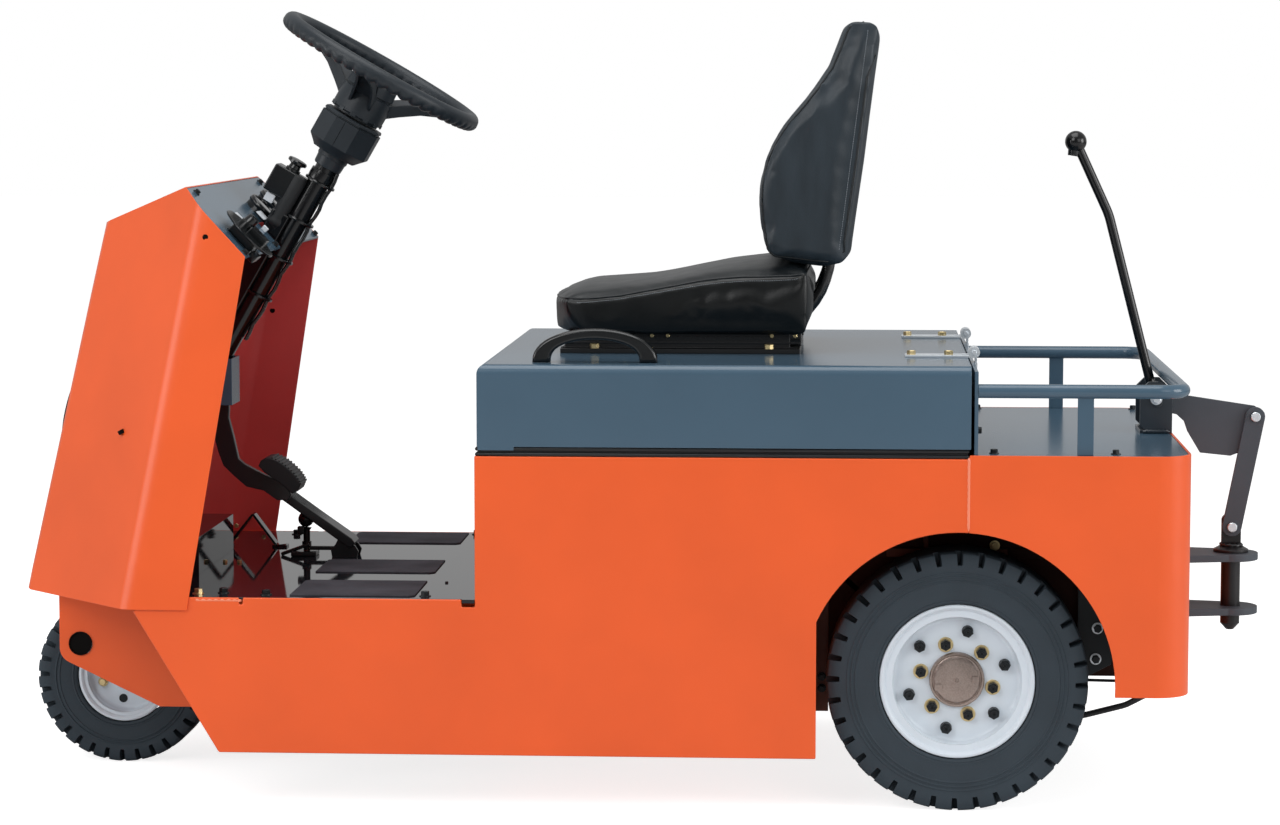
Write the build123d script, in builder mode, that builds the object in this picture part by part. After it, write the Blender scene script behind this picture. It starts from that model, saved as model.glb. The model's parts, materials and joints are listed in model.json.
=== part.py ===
from build123d import *
import os
from math import atan2, cos, hypot, radians, sin

os.makedirs("parts", exist_ok=True)

# Three-wheel electric tow tractor, in millimetres.
# +X is forward, +Y is left, +Z is up. The floor is z = 0 and the origin lies under the
# middle of the overall length. Stations are measured from the two axles.

# Wheels and axles
wheelbase = 1405
rear_axle_x = -517.25
front_axle_x = rear_axle_x + wheelbase
half_width = 420
tyre_inset = 50
running_fit = 0.1
skin_gap = 0.3

# Rear tyre and rim: radii about the axle, offsets along it from the wheel's middle
rear_tyre_r = 207.5
rear_tyre_half = 55
rear_track = 2 * (half_width - tyre_inset - rear_tyre_half)
rear_flange_r = 123
rear_flange_half = 49
rear_seat_r = 101.6
rear_disc_out = 24
rear_spindle_r = 30
rear_hub_r = 55
rear_cap_r = 44
rear_cap_height = 11

# Front tyre and rim
front_tyre_r = 147.5
front_tyre_half = 46
front_flange_r = 78
front_flange_half = 38
front_seat_r = 63.5
front_disc_out = 8
front_spindle_r = 15
front_hub_r = 30
front_cap_r = 26
front_cap_height = 14

flange_t = 6
rim_t = 4
disc_t = 6
tyre_gap = 1.5

shoulder_run = 9
shoulder_drop = 10
wall_rise = 24
rear_flats = 48
front_flats = 44

# Body shell
skirt_t = 5
skirt_bottom_z = 91
skirt_front_x = front_axle_x - 232
skirt_tip_x = front_axle_x - 97
skirt_tip_z = 316
skirt_top_x = front_axle_x - 105
floor_z = 340
floor_t = 6
floor_tab = 21
box_top_z = 568
box_front_x = rear_axle_x + 762
box_rear_x = rear_axle_x + 226
box_bottom_z = 131
sheet_t = 5
arch_r = 245
arch_front = 223
seam_x = rear_axle_x - 15
tail_x = rear_axle_x - 363
tail_corner_r = 56
tail_bottom_z = 194
deck_z = 574
deck_t = 6
shelf_z = 470

# Frame plates
frame_inset = 45
frame_half = rear_track / 2 - rear_tyre_half - frame_inset
frame_t = 8
frame_front_x = front_axle_x + 69
frame_bottom_z = 127
frame_nose_z = 207
frame_toe_x = front_axle_x - 97
tie_hole_r = 19.5
tie_hole_x = front_axle_x + 34
tie_hole_z = 231
head_plate_t = 17
head_plate_back = 130

# Rear axle beam and the brake cables hung from it
beam_r = 38
cable_r = 5
cable_reach = 34
cable_end_x = rear_axle_x - 325

# Battery
battery_end_gap = 13
battery_side_gap = 15
battery_height = 415

# Footwell
mat_length = 200
mat_width = 147
mat_t = 1.5
mat_front_x = front_axle_x - 344
mat_rows = (half_width - 114, 50, 94 - half_width)
tunnel_rear_x = front_axle_x - 155
tunnel_front_x = front_axle_x + 60
tunnel_half = 162
tunnel_top_z = 402
tunnel_t = 3
strap_t = 4

# Cowl: three flat faces on each side, folded, and open at the bottom, the back and the dash
cowl_t = 2.5
cowl_bottom_z = 319.5
cowl_proud = 4.5
cowl_half = half_width + cowl_proud
cowl_lean = 0.0759
cowl_rear_x = front_axle_x - 184
cowl_fold_x = front_axle_x - 83
cowl_nose_x = front_axle_x + 126
cowl_nose_half = 202
cowl_brow_x = front_axle_x - 9
cowl_brow_z = 925
cowl_brow_half = 178
cowl_ridge_x = front_axle_x - 174
cowl_ridge_z = 988
cowl_dash_x = front_axle_x - 276
cowl_dash_z = 879
cowl_fold_r = 43
dash_t = 3

# Headlamps
lamp_r = 62
lamp_z = 610
lamp_y = 105
lamp_depth = 45
lamp_rise = 9

# Steering
wheel_x = front_axle_x - 444
wheel_z = 1174
wheel_r = 173
grip_r = 12
column_lean = 30
column_r = 19
fork_gap = 5.5
crown_t = 11
arm_t = 16
arm_gap = 12
kingpin_r = 20
head_r = 46
head_top_z = 394

# Battery cover
cover_front_x = rear_axle_x + 758
cover_rear_x = rear_axle_x - 17
cover_bottom_z = 583
cover_top_z = 713
cover_t = 3
cover_edge_r = 15
seal_w = 12
seal_gap = 0.5
hinge_x = rear_axle_x - 27
hinge_z = 721.3
hinge_y = 217.5
knuckle_r = 9
hinge_pin_r = 4
leaf_t = 4
leaf_half = 20
leaf_length = 111
middle_knuckle = 7
bulkhead_x = rear_axle_x - 28
bulkhead_t = 6
bulkhead_top_z = 705

# Seat
seat_rear_x = rear_axle_x + 256
seat_front_x = rear_axle_x + 640
seat_half = 222
slide_height = 32
seat_bottom_z = cover_top_z + slide_height
base_t = 8
slide_w = 38
rail_half = 150
stay_y = 95
stay_r = 10
seat_back_half = 200
seat_back_foot_x = seat_rear_x - 74
seat_back_foot_z = seat_bottom_z + 119
seat_back_foot_run = 99
seat_back_foot_rise = 14

# Load rail
tube_r = 11
rail_z = 674
rail_inset = 14
rail_y = half_width - rail_inset
rail_rear_x = rear_axle_x - 349
rail_corner_r = 42
post_x = rear_axle_x - 195
post_w = 25
post_t = 6

# Tow gear
pivot_x = rear_axle_x - 336
pivot_z = 626
lever_pin_r = 8
lever_hub_r = 17
plate_half = 6
eye_x = rear_axle_x - 502
eye_z = 599.5
tow_x = rear_axle_x - 466
link_foot_z = 414.3
link_w = 32
link_t = 8
tow_pin_r = 16
tow_tip_z = 240
jaw_t = 12
jaw_tip_r = 45
jaw_root_half = 65
upper_jaw_z = 359
lower_jaw_z = 269
bracket_half = 50
bracket_t = 8
bracket_front_x = rear_axle_x - 308
bracket_rear_x = rear_axle_x - 361
bracket_top_z = 660


def upright(y):
    """Upright plane at y: local x is forward, local y is up."""
    return Plane.XZ.offset(-y)


def crosswise(x):
    """Plane across the vehicle at x: local x is to the left, local y is up."""
    return Plane.YZ.offset(x)


# Side plates: skirt, wheel arch and side of the battery box in one sheet
for side, sign in (("left", 1), ("right", -1)):
    with BuildPart() as side_plate:
        with BuildSketch(upright(sign * (half_width - skirt_t / 2))):
            with BuildLine():
                arch_side_x = rear_axle_x + arch_front
                arch_side_z = rear_tyre_r + (arch_r**2 - arch_front**2) ** 0.5
                arch_seam_z = rear_tyre_r + (arch_r**2 - (seam_x - rear_axle_x) ** 2) ** 0.5
                over_x = rear_axle_x + arch_r * cos(radians(60))
                over_z = rear_tyre_r + arch_r * sin(radians(60))
                Polyline(
                    (arch_side_x, arch_side_z),
                    (arch_side_x, skirt_bottom_z),
                    (skirt_front_x, skirt_bottom_z),
                    (skirt_tip_x, skirt_tip_z),
                    (skirt_top_x, skirt_tip_z + skirt_tip_x - skirt_top_x),
                    (skirt_top_x, floor_z),
                    (box_front_x + floor_tab, floor_z),
                    (box_front_x + floor_tab, floor_z - 2 * floor_t),
                    (box_front_x, floor_z - 2 * floor_t),
                    (box_front_x, box_top_z),
                    (seam_x, box_top_z),
                    (seam_x, arch_seam_z),
                )
                ThreePointArc((seam_x, arch_seam_z), (over_x, over_z), (arch_side_x, arch_side_z))
            make_face()
            with Locations((front_axle_x - 270, floor_z)):
                Rectangle(6, 2 * 11, mode=Mode.SUBTRACT)
        extrude(amount=skirt_t / 2, both=True)
    side_plate.part.label = f"side_plate_{side}"
    export_step(side_plate.part, f"parts/side_plate_{side}.step")

# Rear body: one sheet bent round the tail, with the back of each wheel arch cut out
with BuildPart() as rear_body:
    with BuildSketch(Plane.XY.offset(tail_bottom_z)):
        with BuildLine():
            FilletPolyline(
                (seam_x, half_width),
                (tail_x, half_width),
                (tail_x, -half_width),
                (seam_x, -half_width),
                radius=tail_corner_r,
            )
            offset(amount=-skirt_t, side=Side.LEFT)
        make_face()
    extrude(amount=deck_z - tail_bottom_z)
    with BuildSketch(upright(0)):
        with Locations((rear_axle_x, rear_tyre_r)):
            Circle(arch_r)
    extrude(amount=half_width + skirt_t, both=True, mode=Mode.SUBTRACT)
rear_body.part.label = "rear_body"
export_step(rear_body.part, "parts/rear_body.step")

# Front frame: two long plates under the floor, joined by the plate that carries the fork
frame_top_z = floor_z - floor_t
with BuildPart() as front_frame:
    for sign in (1, -1):
        with BuildSketch(upright(sign * (frame_half - frame_t / 2))) as frame_side:
            with BuildLine():
                Polyline(
                    (box_front_x, frame_bottom_z),
                    (frame_toe_x, frame_bottom_z),
                    (frame_front_x, frame_nose_z),
                    (frame_front_x, frame_top_z),
                    (box_front_x, frame_top_z),
                    close=True,
                )
            make_face()
            nose = frame_side.vertices().sort_by_distance((frame_front_x, sign * frame_half, frame_nose_z))[0]
            fillet(nose, radius=26)
            with Locations((tie_hole_x, tie_hole_z)):
                Circle(tie_hole_r, mode=Mode.SUBTRACT)
        extrude(amount=frame_t / 2, both=True)
    plate_middle_x = (frame_front_x + front_axle_x - head_plate_back) / 2
    with BuildSketch(Plane.XY.offset(frame_top_z - head_plate_t)):
        with Locations((plate_middle_x, 0)):
            Rectangle(frame_front_x - front_axle_x + head_plate_back, 2 * frame_half - frame_t)
        with Locations((front_axle_x, 0)):
            Circle(kingpin_r + running_fit, mode=Mode.SUBTRACT)
    extrude(amount=head_plate_t)
    with BuildSketch(Plane.XY.offset(frame_bottom_z)):
        with Locations((tunnel_rear_x - 60, 0)):
            Rectangle(frame_t, 2 * frame_half - frame_t)
    extrude(amount=frame_top_z - frame_bottom_z)
front_frame.part.label = "front_frame"
export_step(front_frame.part, "parts/front_frame.step")

# Battery tray: front wall, bottom and rear wall folded from one sheet
tray_half = half_width - skirt_t - skin_gap
with BuildPart() as battery_tray:
    with BuildSketch(upright(0)):
        with BuildLine():
            Polyline(
                (box_front_x, box_top_z),
                (box_front_x, box_bottom_z),
                (box_rear_x, box_bottom_z),
                (box_rear_x, shelf_z),
                (box_rear_x + sheet_t, shelf_z),
                (box_rear_x + sheet_t, box_bottom_z + sheet_t),
                (box_front_x - sheet_t, box_bottom_z + sheet_t),
                (box_front_x - sheet_t, box_top_z),
                close=True,
            )
        make_face()
    extrude(amount=tray_half, both=True)
battery_tray.part.label = "battery_tray"
export_step(battery_tray.part, "parts/battery_tray.step")

# Battery: the traction cells as one block on the tray
with BuildPart() as battery_block:
    tray_middle_x = (box_front_x + box_rear_x) / 2
    with BuildSketch(Plane.XY.offset(box_bottom_z + sheet_t)):
        with Locations((tray_middle_x, 0)):
            battery_length = box_front_x - box_rear_x - 2 * sheet_t - 2 * battery_end_gap
            battery_width = 2 * (half_width - skirt_t - battery_side_gap)
            Rectangle(battery_length, battery_width)
    extrude(amount=battery_height)
battery_block.part.label = "battery_block"
export_step(battery_block.part, "parts/battery_block.step")

# Rear frame: two plates inside the rear wheels, notched over the axle, under the shelf
tail_inner_x = tail_x + skirt_t
with BuildPart() as rear_frame:
    for sign in (1, -1):
        with BuildSketch(upright(sign * (frame_half - frame_t / 2))):
            with BuildLine():
                Polyline(
                    (tail_inner_x + skin_gap, tail_bottom_z),
                    (box_rear_x, tail_bottom_z),
                    (box_rear_x, shelf_z),
                    (tail_inner_x + skin_gap, shelf_z),
                    close=True,
                )
            make_face()
            with Locations((rear_axle_x, rear_tyre_r)):
                Circle(beam_r + skin_gap, mode=Mode.SUBTRACT)
        extrude(amount=frame_t / 2, both=True)
        with BuildSketch(upright(sign * (frame_half + 3))):
            with Locations(((tail_inner_x + box_rear_x) / 2, 394)):
                Rectangle(box_rear_x - tail_inner_x - 2 * skin_gap, 16)
        extrude(amount=3, both=True)
        with BuildSketch(Plane.XY.offset(tail_bottom_z)):
            with Locations((cable_end_x, sign * (frame_half + cable_reach / 2))):
                Rectangle(40, cable_reach)
        extrude(amount=8)
    with BuildSketch(Plane.XY.offset(shelf_z)):
        shelf_front_x = box_rear_x + sheet_t
        with Locations(((shelf_front_x + bulkhead_x) / 2, 0)):
            Rectangle(shelf_front_x - bulkhead_x, 2 * tray_half)
    extrude(amount=4)
rear_frame.part.label = "rear_frame"
export_step(rear_frame.part, "parts/rear_frame.step")

# Floor plate, from the battery box forward under the cowl
with BuildPart() as floor_plate:
    with BuildSketch(Plane.XY.offset(frame_top_z)):
        floor_start_x = box_front_x + skin_gap
        with Locations(((floor_start_x + skirt_top_x) / 2, 0)):
            Rectangle(skirt_top_x - floor_start_x, 2 * tray_half)
        with Locations(((skirt_top_x + frame_front_x) / 2, 0)):
            Rectangle(frame_front_x - skirt_top_x, 2 * frame_half)
        with Locations(((floor_start_x + box_front_x + floor_tab - skin_gap) / 2, 0)):
            Rectangle(floor_tab - 2 * skin_gap, 2 * half_width)
        with Locations((front_axle_x, 0)):
            Circle(head_r + skin_gap, mode=Mode.SUBTRACT)
    extrude(amount=floor_t)
floor_plate.part.label = "floor_plate"
export_step(floor_plate.part, "parts/floor_plate.step")

# Anti-slip mats glued to the floor plate
with BuildPart() as anti_slip_mats:
    with BuildSketch(Plane.XY.offset(floor_z)):
        for row_y in mat_rows:
            with Locations((mat_front_x - mat_length / 2, row_y)):
                Rectangle(mat_length, mat_width)
    extrude(amount=mat_t)
anti_slip_mats.part.label = "anti_slip_mats"
export_step(anti_slip_mats.part, "parts/anti_slip_mats.step")

# Front tunnel: sheet cover over the steering head, with a hole for the column
column_up = Vector(-sin(radians(column_lean)), 0, cos(radians(column_lean)))
column_side = Vector(cos(radians(column_lean)), 0, sin(radians(column_lean)))
wheel_centre = Vector(wheel_x, 0, wheel_z)
column_plane = Plane(origin=wheel_centre, x_dir=column_side, z_dir=column_up)
boss_start = 850
boss_r = 30
with BuildPart() as front_tunnel:
    with BuildSketch(Plane.XY.offset(floor_z)):
        with Locations(((tunnel_rear_x + tunnel_front_x) / 2, 0)):
            Rectangle(tunnel_front_x - tunnel_rear_x, 2 * tunnel_half)
    extrude(amount=tunnel_top_z - floor_z)
    offset(amount=-tunnel_t, openings=front_tunnel.faces().sort_by(Axis.Z)[0])
    with BuildSketch(column_plane.offset(-boss_start)):
        Circle(boss_r + 3)
    extrude(amount=-90, mode=Mode.SUBTRACT)
    with BuildSketch(upright(-(tunnel_half + 38))):
        with BuildLine():
            strap = Polyline(
                (front_axle_x - 223, floor_z + strap_t),
                (front_axle_x - 185, tunnel_top_z - 7),
                (front_axle_x - 144, floor_z + strap_t),
            )
            offset(strap, amount=strap_t, side=Side.LEFT)
        make_face()
        for foot_x in (front_axle_x - 232, front_axle_x - 135):
            with Locations((foot_x, floor_z + strap_t / 2)):
                Rectangle(26, strap_t)
    extrude(amount=12, both=True)
front_tunnel.part.label = "front_tunnel"
export_step(front_tunnel.part, "parts/front_tunnel.step")

# Steering head: kingpin housing on the fork plate, with a slanting boss for the column
with BuildPart() as steering_head:
    with BuildSketch(Plane.XY.offset(frame_top_z)):
        with Locations((front_axle_x, 0)):
            Circle(head_r)
    extrude(amount=head_top_z - frame_top_z)
    with BuildSketch(column_plane.offset(-boss_start)):
        Circle(boss_r)
    extrude(amount=-70)
    with BuildSketch(Plane.XY.offset(frame_top_z)):
        with Locations((front_axle_x, 0)):
            Circle(kingpin_r + running_fit)
    extrude(amount=40, mode=Mode.SUBTRACT)
steering_head.part.label = "steering_head"
export_step(steering_head.part, "parts/steering_head.step")


def cowl_planes(wall_inset, open_reach):
    """Planes of the cowl's walls and of its open sides, with their normals outward."""
    lean = Vector(0, 1, cowl_lean)
    nose_slope = (cowl_nose_x - cowl_brow_x) / (cowl_brow_z - cowl_bottom_z)
    fold = Vector(cowl_fold_x, cowl_half, cowl_bottom_z)
    nose = Vector(cowl_nose_x, cowl_nose_half, cowl_bottom_z)
    brow = Vector(cowl_brow_x, cowl_brow_half, cowl_brow_z)
    ridge = Vector(cowl_ridge_x, 0, cowl_ridge_z)
    dash = Vector(cowl_dash_x, 0, cowl_dash_z)
    corner = (brow - nose).cross(nose - fold)
    walls = [(fold, lean), (nose, corner), (nose, Vector(1, 0, nose_slope))]
    mirrored = [(Vector(p.X, -p.Y, p.Z), Vector(n.X, -n.Y, n.Z)) for p, n in walls[:2]]
    top = (brow, Vector(cowl_ridge_z - cowl_brow_z, 0, cowl_brow_x - cowl_ridge_x))
    open_sides = [
        (dash, Vector(cowl_dash_z - cowl_ridge_z, 0, cowl_ridge_x - cowl_dash_x)),
        (dash, Vector(cowl_bottom_z - cowl_dash_z, 0, cowl_dash_x - cowl_rear_x)),
        (fold, Vector(0, 0, -1)),
    ]
    upright_walls = [(p - n.normalized() * wall_inset, n) for p, n in walls + mirrored]
    top_wall = [(top[0] - top[1].normalized() * wall_inset, top[1])]
    openings = [(p + n.normalized() * open_reach, n) for p, n in open_sides]
    return upright_walls, top_wall + openings


def cowl_block(wall_inset, open_reach):
    """Solid with the cowl's shape, its walls moved in and its open sides moved out."""
    upright_walls, ends = cowl_planes(wall_inset, open_reach)
    with BuildPart() as block:
        with Locations((front_axle_x - 100, 0, 650)):
            Box(900, 1000, 1200)
        for point, normal in upright_walls:
            split(bisect_by=Plane(origin=point, z_dir=normal), keep=Keep.BOTTOM)
        for sign in (1, -1):
            fold_point = Vector(cowl_fold_x - 62, sign * (cowl_half - 25), 650)
            fold_edge = block.edges().sort_by_distance(fold_point)[0]
            fillet(fold_edge, radius=cowl_fold_r - wall_inset)
        for point, normal in ends:
            split(bisect_by=Plane(origin=point, z_dir=normal), keep=Keep.BOTTOM)
    return block.part


# Cowl: folded sheet with two round holes for the headlamps
nose_slope = (cowl_nose_x - cowl_brow_x) / (cowl_brow_z - cowl_bottom_z)
lamp_x = cowl_nose_x - nose_slope * (lamp_z - cowl_bottom_z)
lamp_planes = [
    Plane(origin=(lamp_x, sign * lamp_y, lamp_z), x_dir=(0, 1, 0), z_dir=(1, 0, nose_slope))
    for sign in (1, -1)
]
with BuildPart() as cowl:
    add(cowl_block(0, 0))
    add(cowl_block(cowl_t, 60), mode=Mode.SUBTRACT)
    for lamp_plane in lamp_planes:
        with BuildSketch(lamp_plane):
            Circle(lamp_r - 4)
        extrude(amount=20, both=True, mode=Mode.SUBTRACT)
cowl.part.label = "cowl"
export_step(cowl.part, "parts/cowl.step")

# Headlamps: bucket behind the sheet, bezel and domed lens in front
with BuildPart() as headlamps:
    for lamp_plane in lamp_planes:
        section = Plane(origin=lamp_plane.origin, x_dir=lamp_plane.x_dir, z_dir=-lamp_plane.y_dir)
        with BuildSketch(section):
            with BuildLine():
                Polyline(
                    (0, -lamp_depth),
                    (20, -lamp_depth),
                    (lamp_r - 6, -8),
                    (lamp_r - 6, skin_gap),
                    (lamp_r, skin_gap),
                    (lamp_r, 4),
                    (lamp_r - 8, 6),
                    (lamp_r / 2, 6 + 0.75 * lamp_rise),
                    (0, 6 + lamp_rise),
                    close=True,
                )
            make_face()
        revolve(axis=Axis(section.origin, section.y_dir))
headlamps.part.label = "headlamps"
export_step(headlamps.part, "parts/headlamps.step")

# Dash panel: sheet between the cowl's sides, and the knee plate round the column
knee_rear_x = front_axle_x - 191
knee_bottom_z = 611
knee_top_z = 690
channel_half = 35
channel_depth = 52
channel_offset = 25
with BuildPart() as dash_panel:
    add(cowl_block(cowl_t + skin_gap, 0))
    dash_normal = Vector(cowl_dash_z - cowl_ridge_z, 0, cowl_ridge_x - cowl_dash_x).normalized()
    dash_under = Vector(cowl_dash_x, 0, cowl_dash_z) - dash_normal * dash_t
    split(bisect_by=Plane(origin=dash_under, z_dir=dash_normal), keep=Keep.TOP)
    with BuildSketch(column_plane.offset(-60)):
        with Locations((channel_offset - 12, 0)):
            Rectangle(channel_depth + 26, 2 * (channel_half + skin_gap))
    extrude(amount=-500, mode=Mode.SUBTRACT)
    with BuildSketch(Plane.XY.offset(knee_bottom_z)):
        with Locations((knee_rear_x + 30, 0)):
            Rectangle(60, 2 * (channel_half + skin_gap + dash_t))
            with Locations((dash_t, 0)):
                Rectangle(60, 2 * (channel_half + skin_gap), mode=Mode.SUBTRACT)
    extrude(amount=knee_top_z - knee_bottom_z)
dash_panel.part.label = "dash_panel"
export_step(dash_panel.part, "parts/dash_panel.step")

# Dash gauges: two round instruments and the key switch plate, standing on the dash
dash_plane = Plane(
    origin=((cowl_dash_x + cowl_ridge_x) / 2, 0, (cowl_dash_z + cowl_ridge_z) / 2),
    x_dir=(0, 1, 0),
    z_dir=dash_normal,
)
gauge_table = (
    # across, up the dash, radius, height
    (-120, 10, 36, 14),
    (-205, 10, 36, 14),
    (-120, 10, 30, 17),
    (-205, 10, 30, 17),
)
with BuildPart() as dash_gauges:
    for across, up, radius, height in gauge_table:
        with BuildSketch(dash_plane):
            with Locations((across, -up)):
                Circle(radius)
        extrude(amount=height)
    for width, length, base, height in ((60, 84, 0, 18), (104, 112, 18, 4)):
        with BuildSketch(dash_plane.offset(base)):
            with Locations((150, -10)):
                RectangleRounded(width, length, 8)
        extrude(amount=height)
    for knob_up, radius, height in ((16, 13, 20), (-26, 8, 12)):
        with BuildSketch(dash_plane.offset(22)):
            with Locations((150, knob_up)):
                Circle(radius)
        extrude(amount=height)
dash_gauges.part.label = "dash_gauges"
export_step(dash_gauges.part, "parts/dash_gauges.step")

# Steering column: tube from the housing to the head, with a channel welded along it
housing_end = 163
with BuildPart() as steering_column:
    with BuildSketch(column_plane.offset(-housing_end)):
        Circle(column_r)
    extrude(amount=housing_end - boss_start)
    with BuildSketch(column_plane.offset(-255)):
        with Locations((channel_offset, 0)):
            Rectangle(channel_depth, 2 * channel_half)
    extrude(amount=-395)
    with BuildSketch(column_plane.offset(-250)):
        with Locations((channel_offset + 8, 0)):
            Rectangle(channel_depth, 2 * channel_half - 12)
    extrude(amount=-405, mode=Mode.SUBTRACT)
    with BuildSketch(column_plane.offset(-housing_end)):
        Circle(column_r)
    extrude(amount=housing_end - boss_start)
steering_column.part.label = "steering_column"
export_step(steering_column.part, "parts/steering_column.step")

# Column housing: eight-sided switch housing, and the direction switch on the column's front
housing_start = 92
switch_start = 222
switch_length = 56
with BuildPart() as column_housing:
    with BuildSketch(column_plane.offset(-housing_start)):
        RegularPolygon(52, 8, major_radius=False)
    extrude(amount=housing_start - housing_end + 16)
    with BuildSketch(column_plane.offset(16 - housing_end)) as housing_top:
        RegularPolygon(52, 8, major_radius=False)
    with BuildSketch(column_plane.offset(-housing_end)) as housing_foot:
        RegularPolygon(38, 8, major_radius=False)
    loft()
    with BuildSketch(column_plane.offset(-housing_start)):
        Circle(10 + running_fit)
    extrude(amount=-40, mode=Mode.SUBTRACT)
    switch_middle = column_r + skin_gap + switch_length / 2
    with BuildSketch(column_plane.offset(-switch_start)):
        with Locations((switch_middle, 0)):
            RectangleRounded(switch_length, 44, 4)
    extrude(amount=-48)
    for radius, base, height in ((9, 0, 12), (17, 10, 5), (14, 15, 5)):
        with BuildSketch(column_plane.offset(base - switch_start)):
            with Locations((switch_middle, 0)):
                Circle(radius)
        extrude(amount=height)
column_housing.part.label = "column_housing"
export_step(column_housing.part, "parts/column_housing.step")

# Steering wheel: grip, three dished spokes and a deep hub on the steering shaft
wheel_section = Plane(origin=wheel_centre, x_dir=column_side, z_dir=-column_plane.y_dir)
hub_end = 90
with BuildPart() as steering_wheel:
    with BuildSketch(wheel_section):
        with Locations((wheel_r, 0)):
            RegularPolygon(grip_r, 8, rotation=22.5)
    revolve(axis=Axis(wheel_centre, column_up))
    with BuildSketch(wheel_section):
        with BuildLine():
            Polyline(
                (0, -12),
                (34, -12),
                (40, -18),
                (46, -55),
                (46, -hub_end),
                (10, -hub_end),
                (10, -hub_end - 30),
                (0, -hub_end - 30),
                close=True,
            )
        make_face()
    revolve(axis=Axis(wheel_centre, column_up))
    for angle in (90, 210, 330):
        spoke_out = column_side.rotate(Axis((0, 0, 0), column_up), angle)
        spoke_plane = Plane(origin=wheel_centre, x_dir=spoke_out, z_dir=spoke_out.cross(column_up))
        with BuildSketch(spoke_plane):
            with BuildLine():
                Polyline((30, -40), (95, -30), (wheel_r - 6, -2), (wheel_r - 2, -9), (98, -40), (30, -62), close=True)
            make_face()
        extrude(amount=15, both=True)
steering_wheel.part.label = "steering_wheel"
export_step(steering_wheel.part, "parts/steering_wheel.step")

# Brake pedal: bent arm hung from a cross pin in the knee plate, with a pad at its foot
pedal_pin_x = front_axle_x - 171
pedal_pin_z = 628
with BuildPart() as brake_pedal:
    with BuildSketch(upright(0)):
        with BuildLine():
            Polyline(
                (pedal_pin_x - 12, pedal_pin_z + 12),
                (pedal_pin_x + 12, pedal_pin_z + 12),
                (pedal_pin_x + 12, 545),
                (front_axle_x - 158, 505),
                (front_axle_x - 205, 468),
                (front_axle_x - 262, 440),
                (front_axle_x - 274, 462),
                (front_axle_x - 208, 500),
                (front_axle_x - 192, 520),
                close=True,
            )
        make_face()
    extrude(amount=6, both=True)
    with BuildSketch(upright(0)):
        with Locations((pedal_pin_x, pedal_pin_z)):
            Circle(6)
    extrude(amount=channel_half, both=True)
    pad_plane = Plane(origin=(front_axle_x - 262, 0, 492), x_dir=(0, 1, 0), z_dir=(-sin(radians(52)), 0, cos(radians(52))))
    with BuildSketch(pad_plane.offset(-16)):
        RectangleRounded(70, 74, 12)
    extrude(amount=16)
    with BuildSketch(upright(0)):
        with BuildLine():
            Polyline(
                (front_axle_x - 250, 478),
                (front_axle_x - 208, 500),
                (front_axle_x - 240, 450),
                (front_axle_x - 268, 452),
                close=True,
            )
        make_face()
    extrude(amount=6, both=True)
brake_pedal.part.label = "brake_pedal"
export_step(brake_pedal.part, "parts/brake_pedal.step")

# Accelerator: sloping plate hinged in a foot on the floor, with its ball-ended rod
accel_y = -90
with BuildPart() as accelerator_pedal:
    with BuildSketch(upright(accel_y)):
        with BuildLine():
            Polyline(
                (front_axle_x - 378, 372),
                (front_axle_x - 370, 358),
                (front_axle_x - 244, 450),
                (front_axle_x - 250, 464),
                close=True,
            )
        make_face()
    extrude(amount=28, both=True)
    with BuildSketch(Plane.XY.offset(floor_z)):
        with Locations((front_axle_x - 360, accel_y)):
            Rectangle(40, 56)
    extrude(amount=26)
    with BuildSketch(Plane.XY.offset(floor_z)):
        with Locations((front_axle_x - 296, accel_y)):
            Circle(5)
    extrude(amount=80)
    with BuildSketch(Plane(origin=(front_axle_x - 296, accel_y, 401), x_dir=(1, 0, 0), z_dir=(0, -1, 0))):
        Polygon((0, -12), (8, -9), (12, 0), (8, 9), (0, 12), align=None)
    revolve(axis=Axis((front_axle_x - 296, accel_y, 0), (0, 0, 1)))
accelerator_pedal.part.label = "accelerator_pedal"
export_step(accelerator_pedal.part, "parts/accelerator_pedal.step")

# Rear deck inside the rear body
with BuildPart() as rear_deck:
    with BuildSketch(Plane.XY.offset(deck_z - deck_t)) as deck_face:
        deck_rear_x = tail_inner_x + skin_gap
        with Locations(((bulkhead_x + deck_rear_x) / 2, 0)):
            Rectangle(bulkhead_x - deck_rear_x, 2 * tray_half)
        fillet(deck_face.vertices().group_by(Axis.X)[0], radius=tail_corner_r - skirt_t - skin_gap)
    extrude(amount=deck_t)
rear_deck.part.label = "rear_deck"
export_step(rear_deck.part, "parts/rear_deck.step")

# Rear bulkhead behind the cover
with BuildPart() as rear_bulkhead:
    with BuildSketch(Plane.XY.offset(shelf_z + 4)):
        with Locations((bulkhead_x + bulkhead_t / 2, 0)):
            Rectangle(bulkhead_t, 2 * tray_half)
    extrude(amount=bulkhead_top_z - shelf_z - 4)
rear_bulkhead.part.label = "rear_bulkhead"
export_step(rear_bulkhead.part, "parts/rear_bulkhead.step")

# Cover seal: rubber strip along the top edges of the battery box
with BuildPart() as cover_seal:
    with BuildSketch(Plane.XY.offset(box_top_z)):
        with BuildLine():
            Polyline(
                (seam_x, half_width - 1),
                (box_front_x - 1, half_width - 1),
                (box_front_x - 1, 1 - half_width),
                (seam_x, 1 - half_width),
                (seam_x, 1 - half_width + seal_w),
                (box_front_x - 1 - seal_w, 1 - half_width + seal_w),
                (box_front_x - 1 - seal_w, half_width - 1 - seal_w),
                (seam_x, half_width - 1 - seal_w),
                close=True,
            )
        make_face()
    extrude(amount=cover_bottom_z - seal_gap - box_top_z)
cover_seal.part.label = "cover_seal"
export_step(cover_seal.part, "parts/cover_seal.step")

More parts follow.
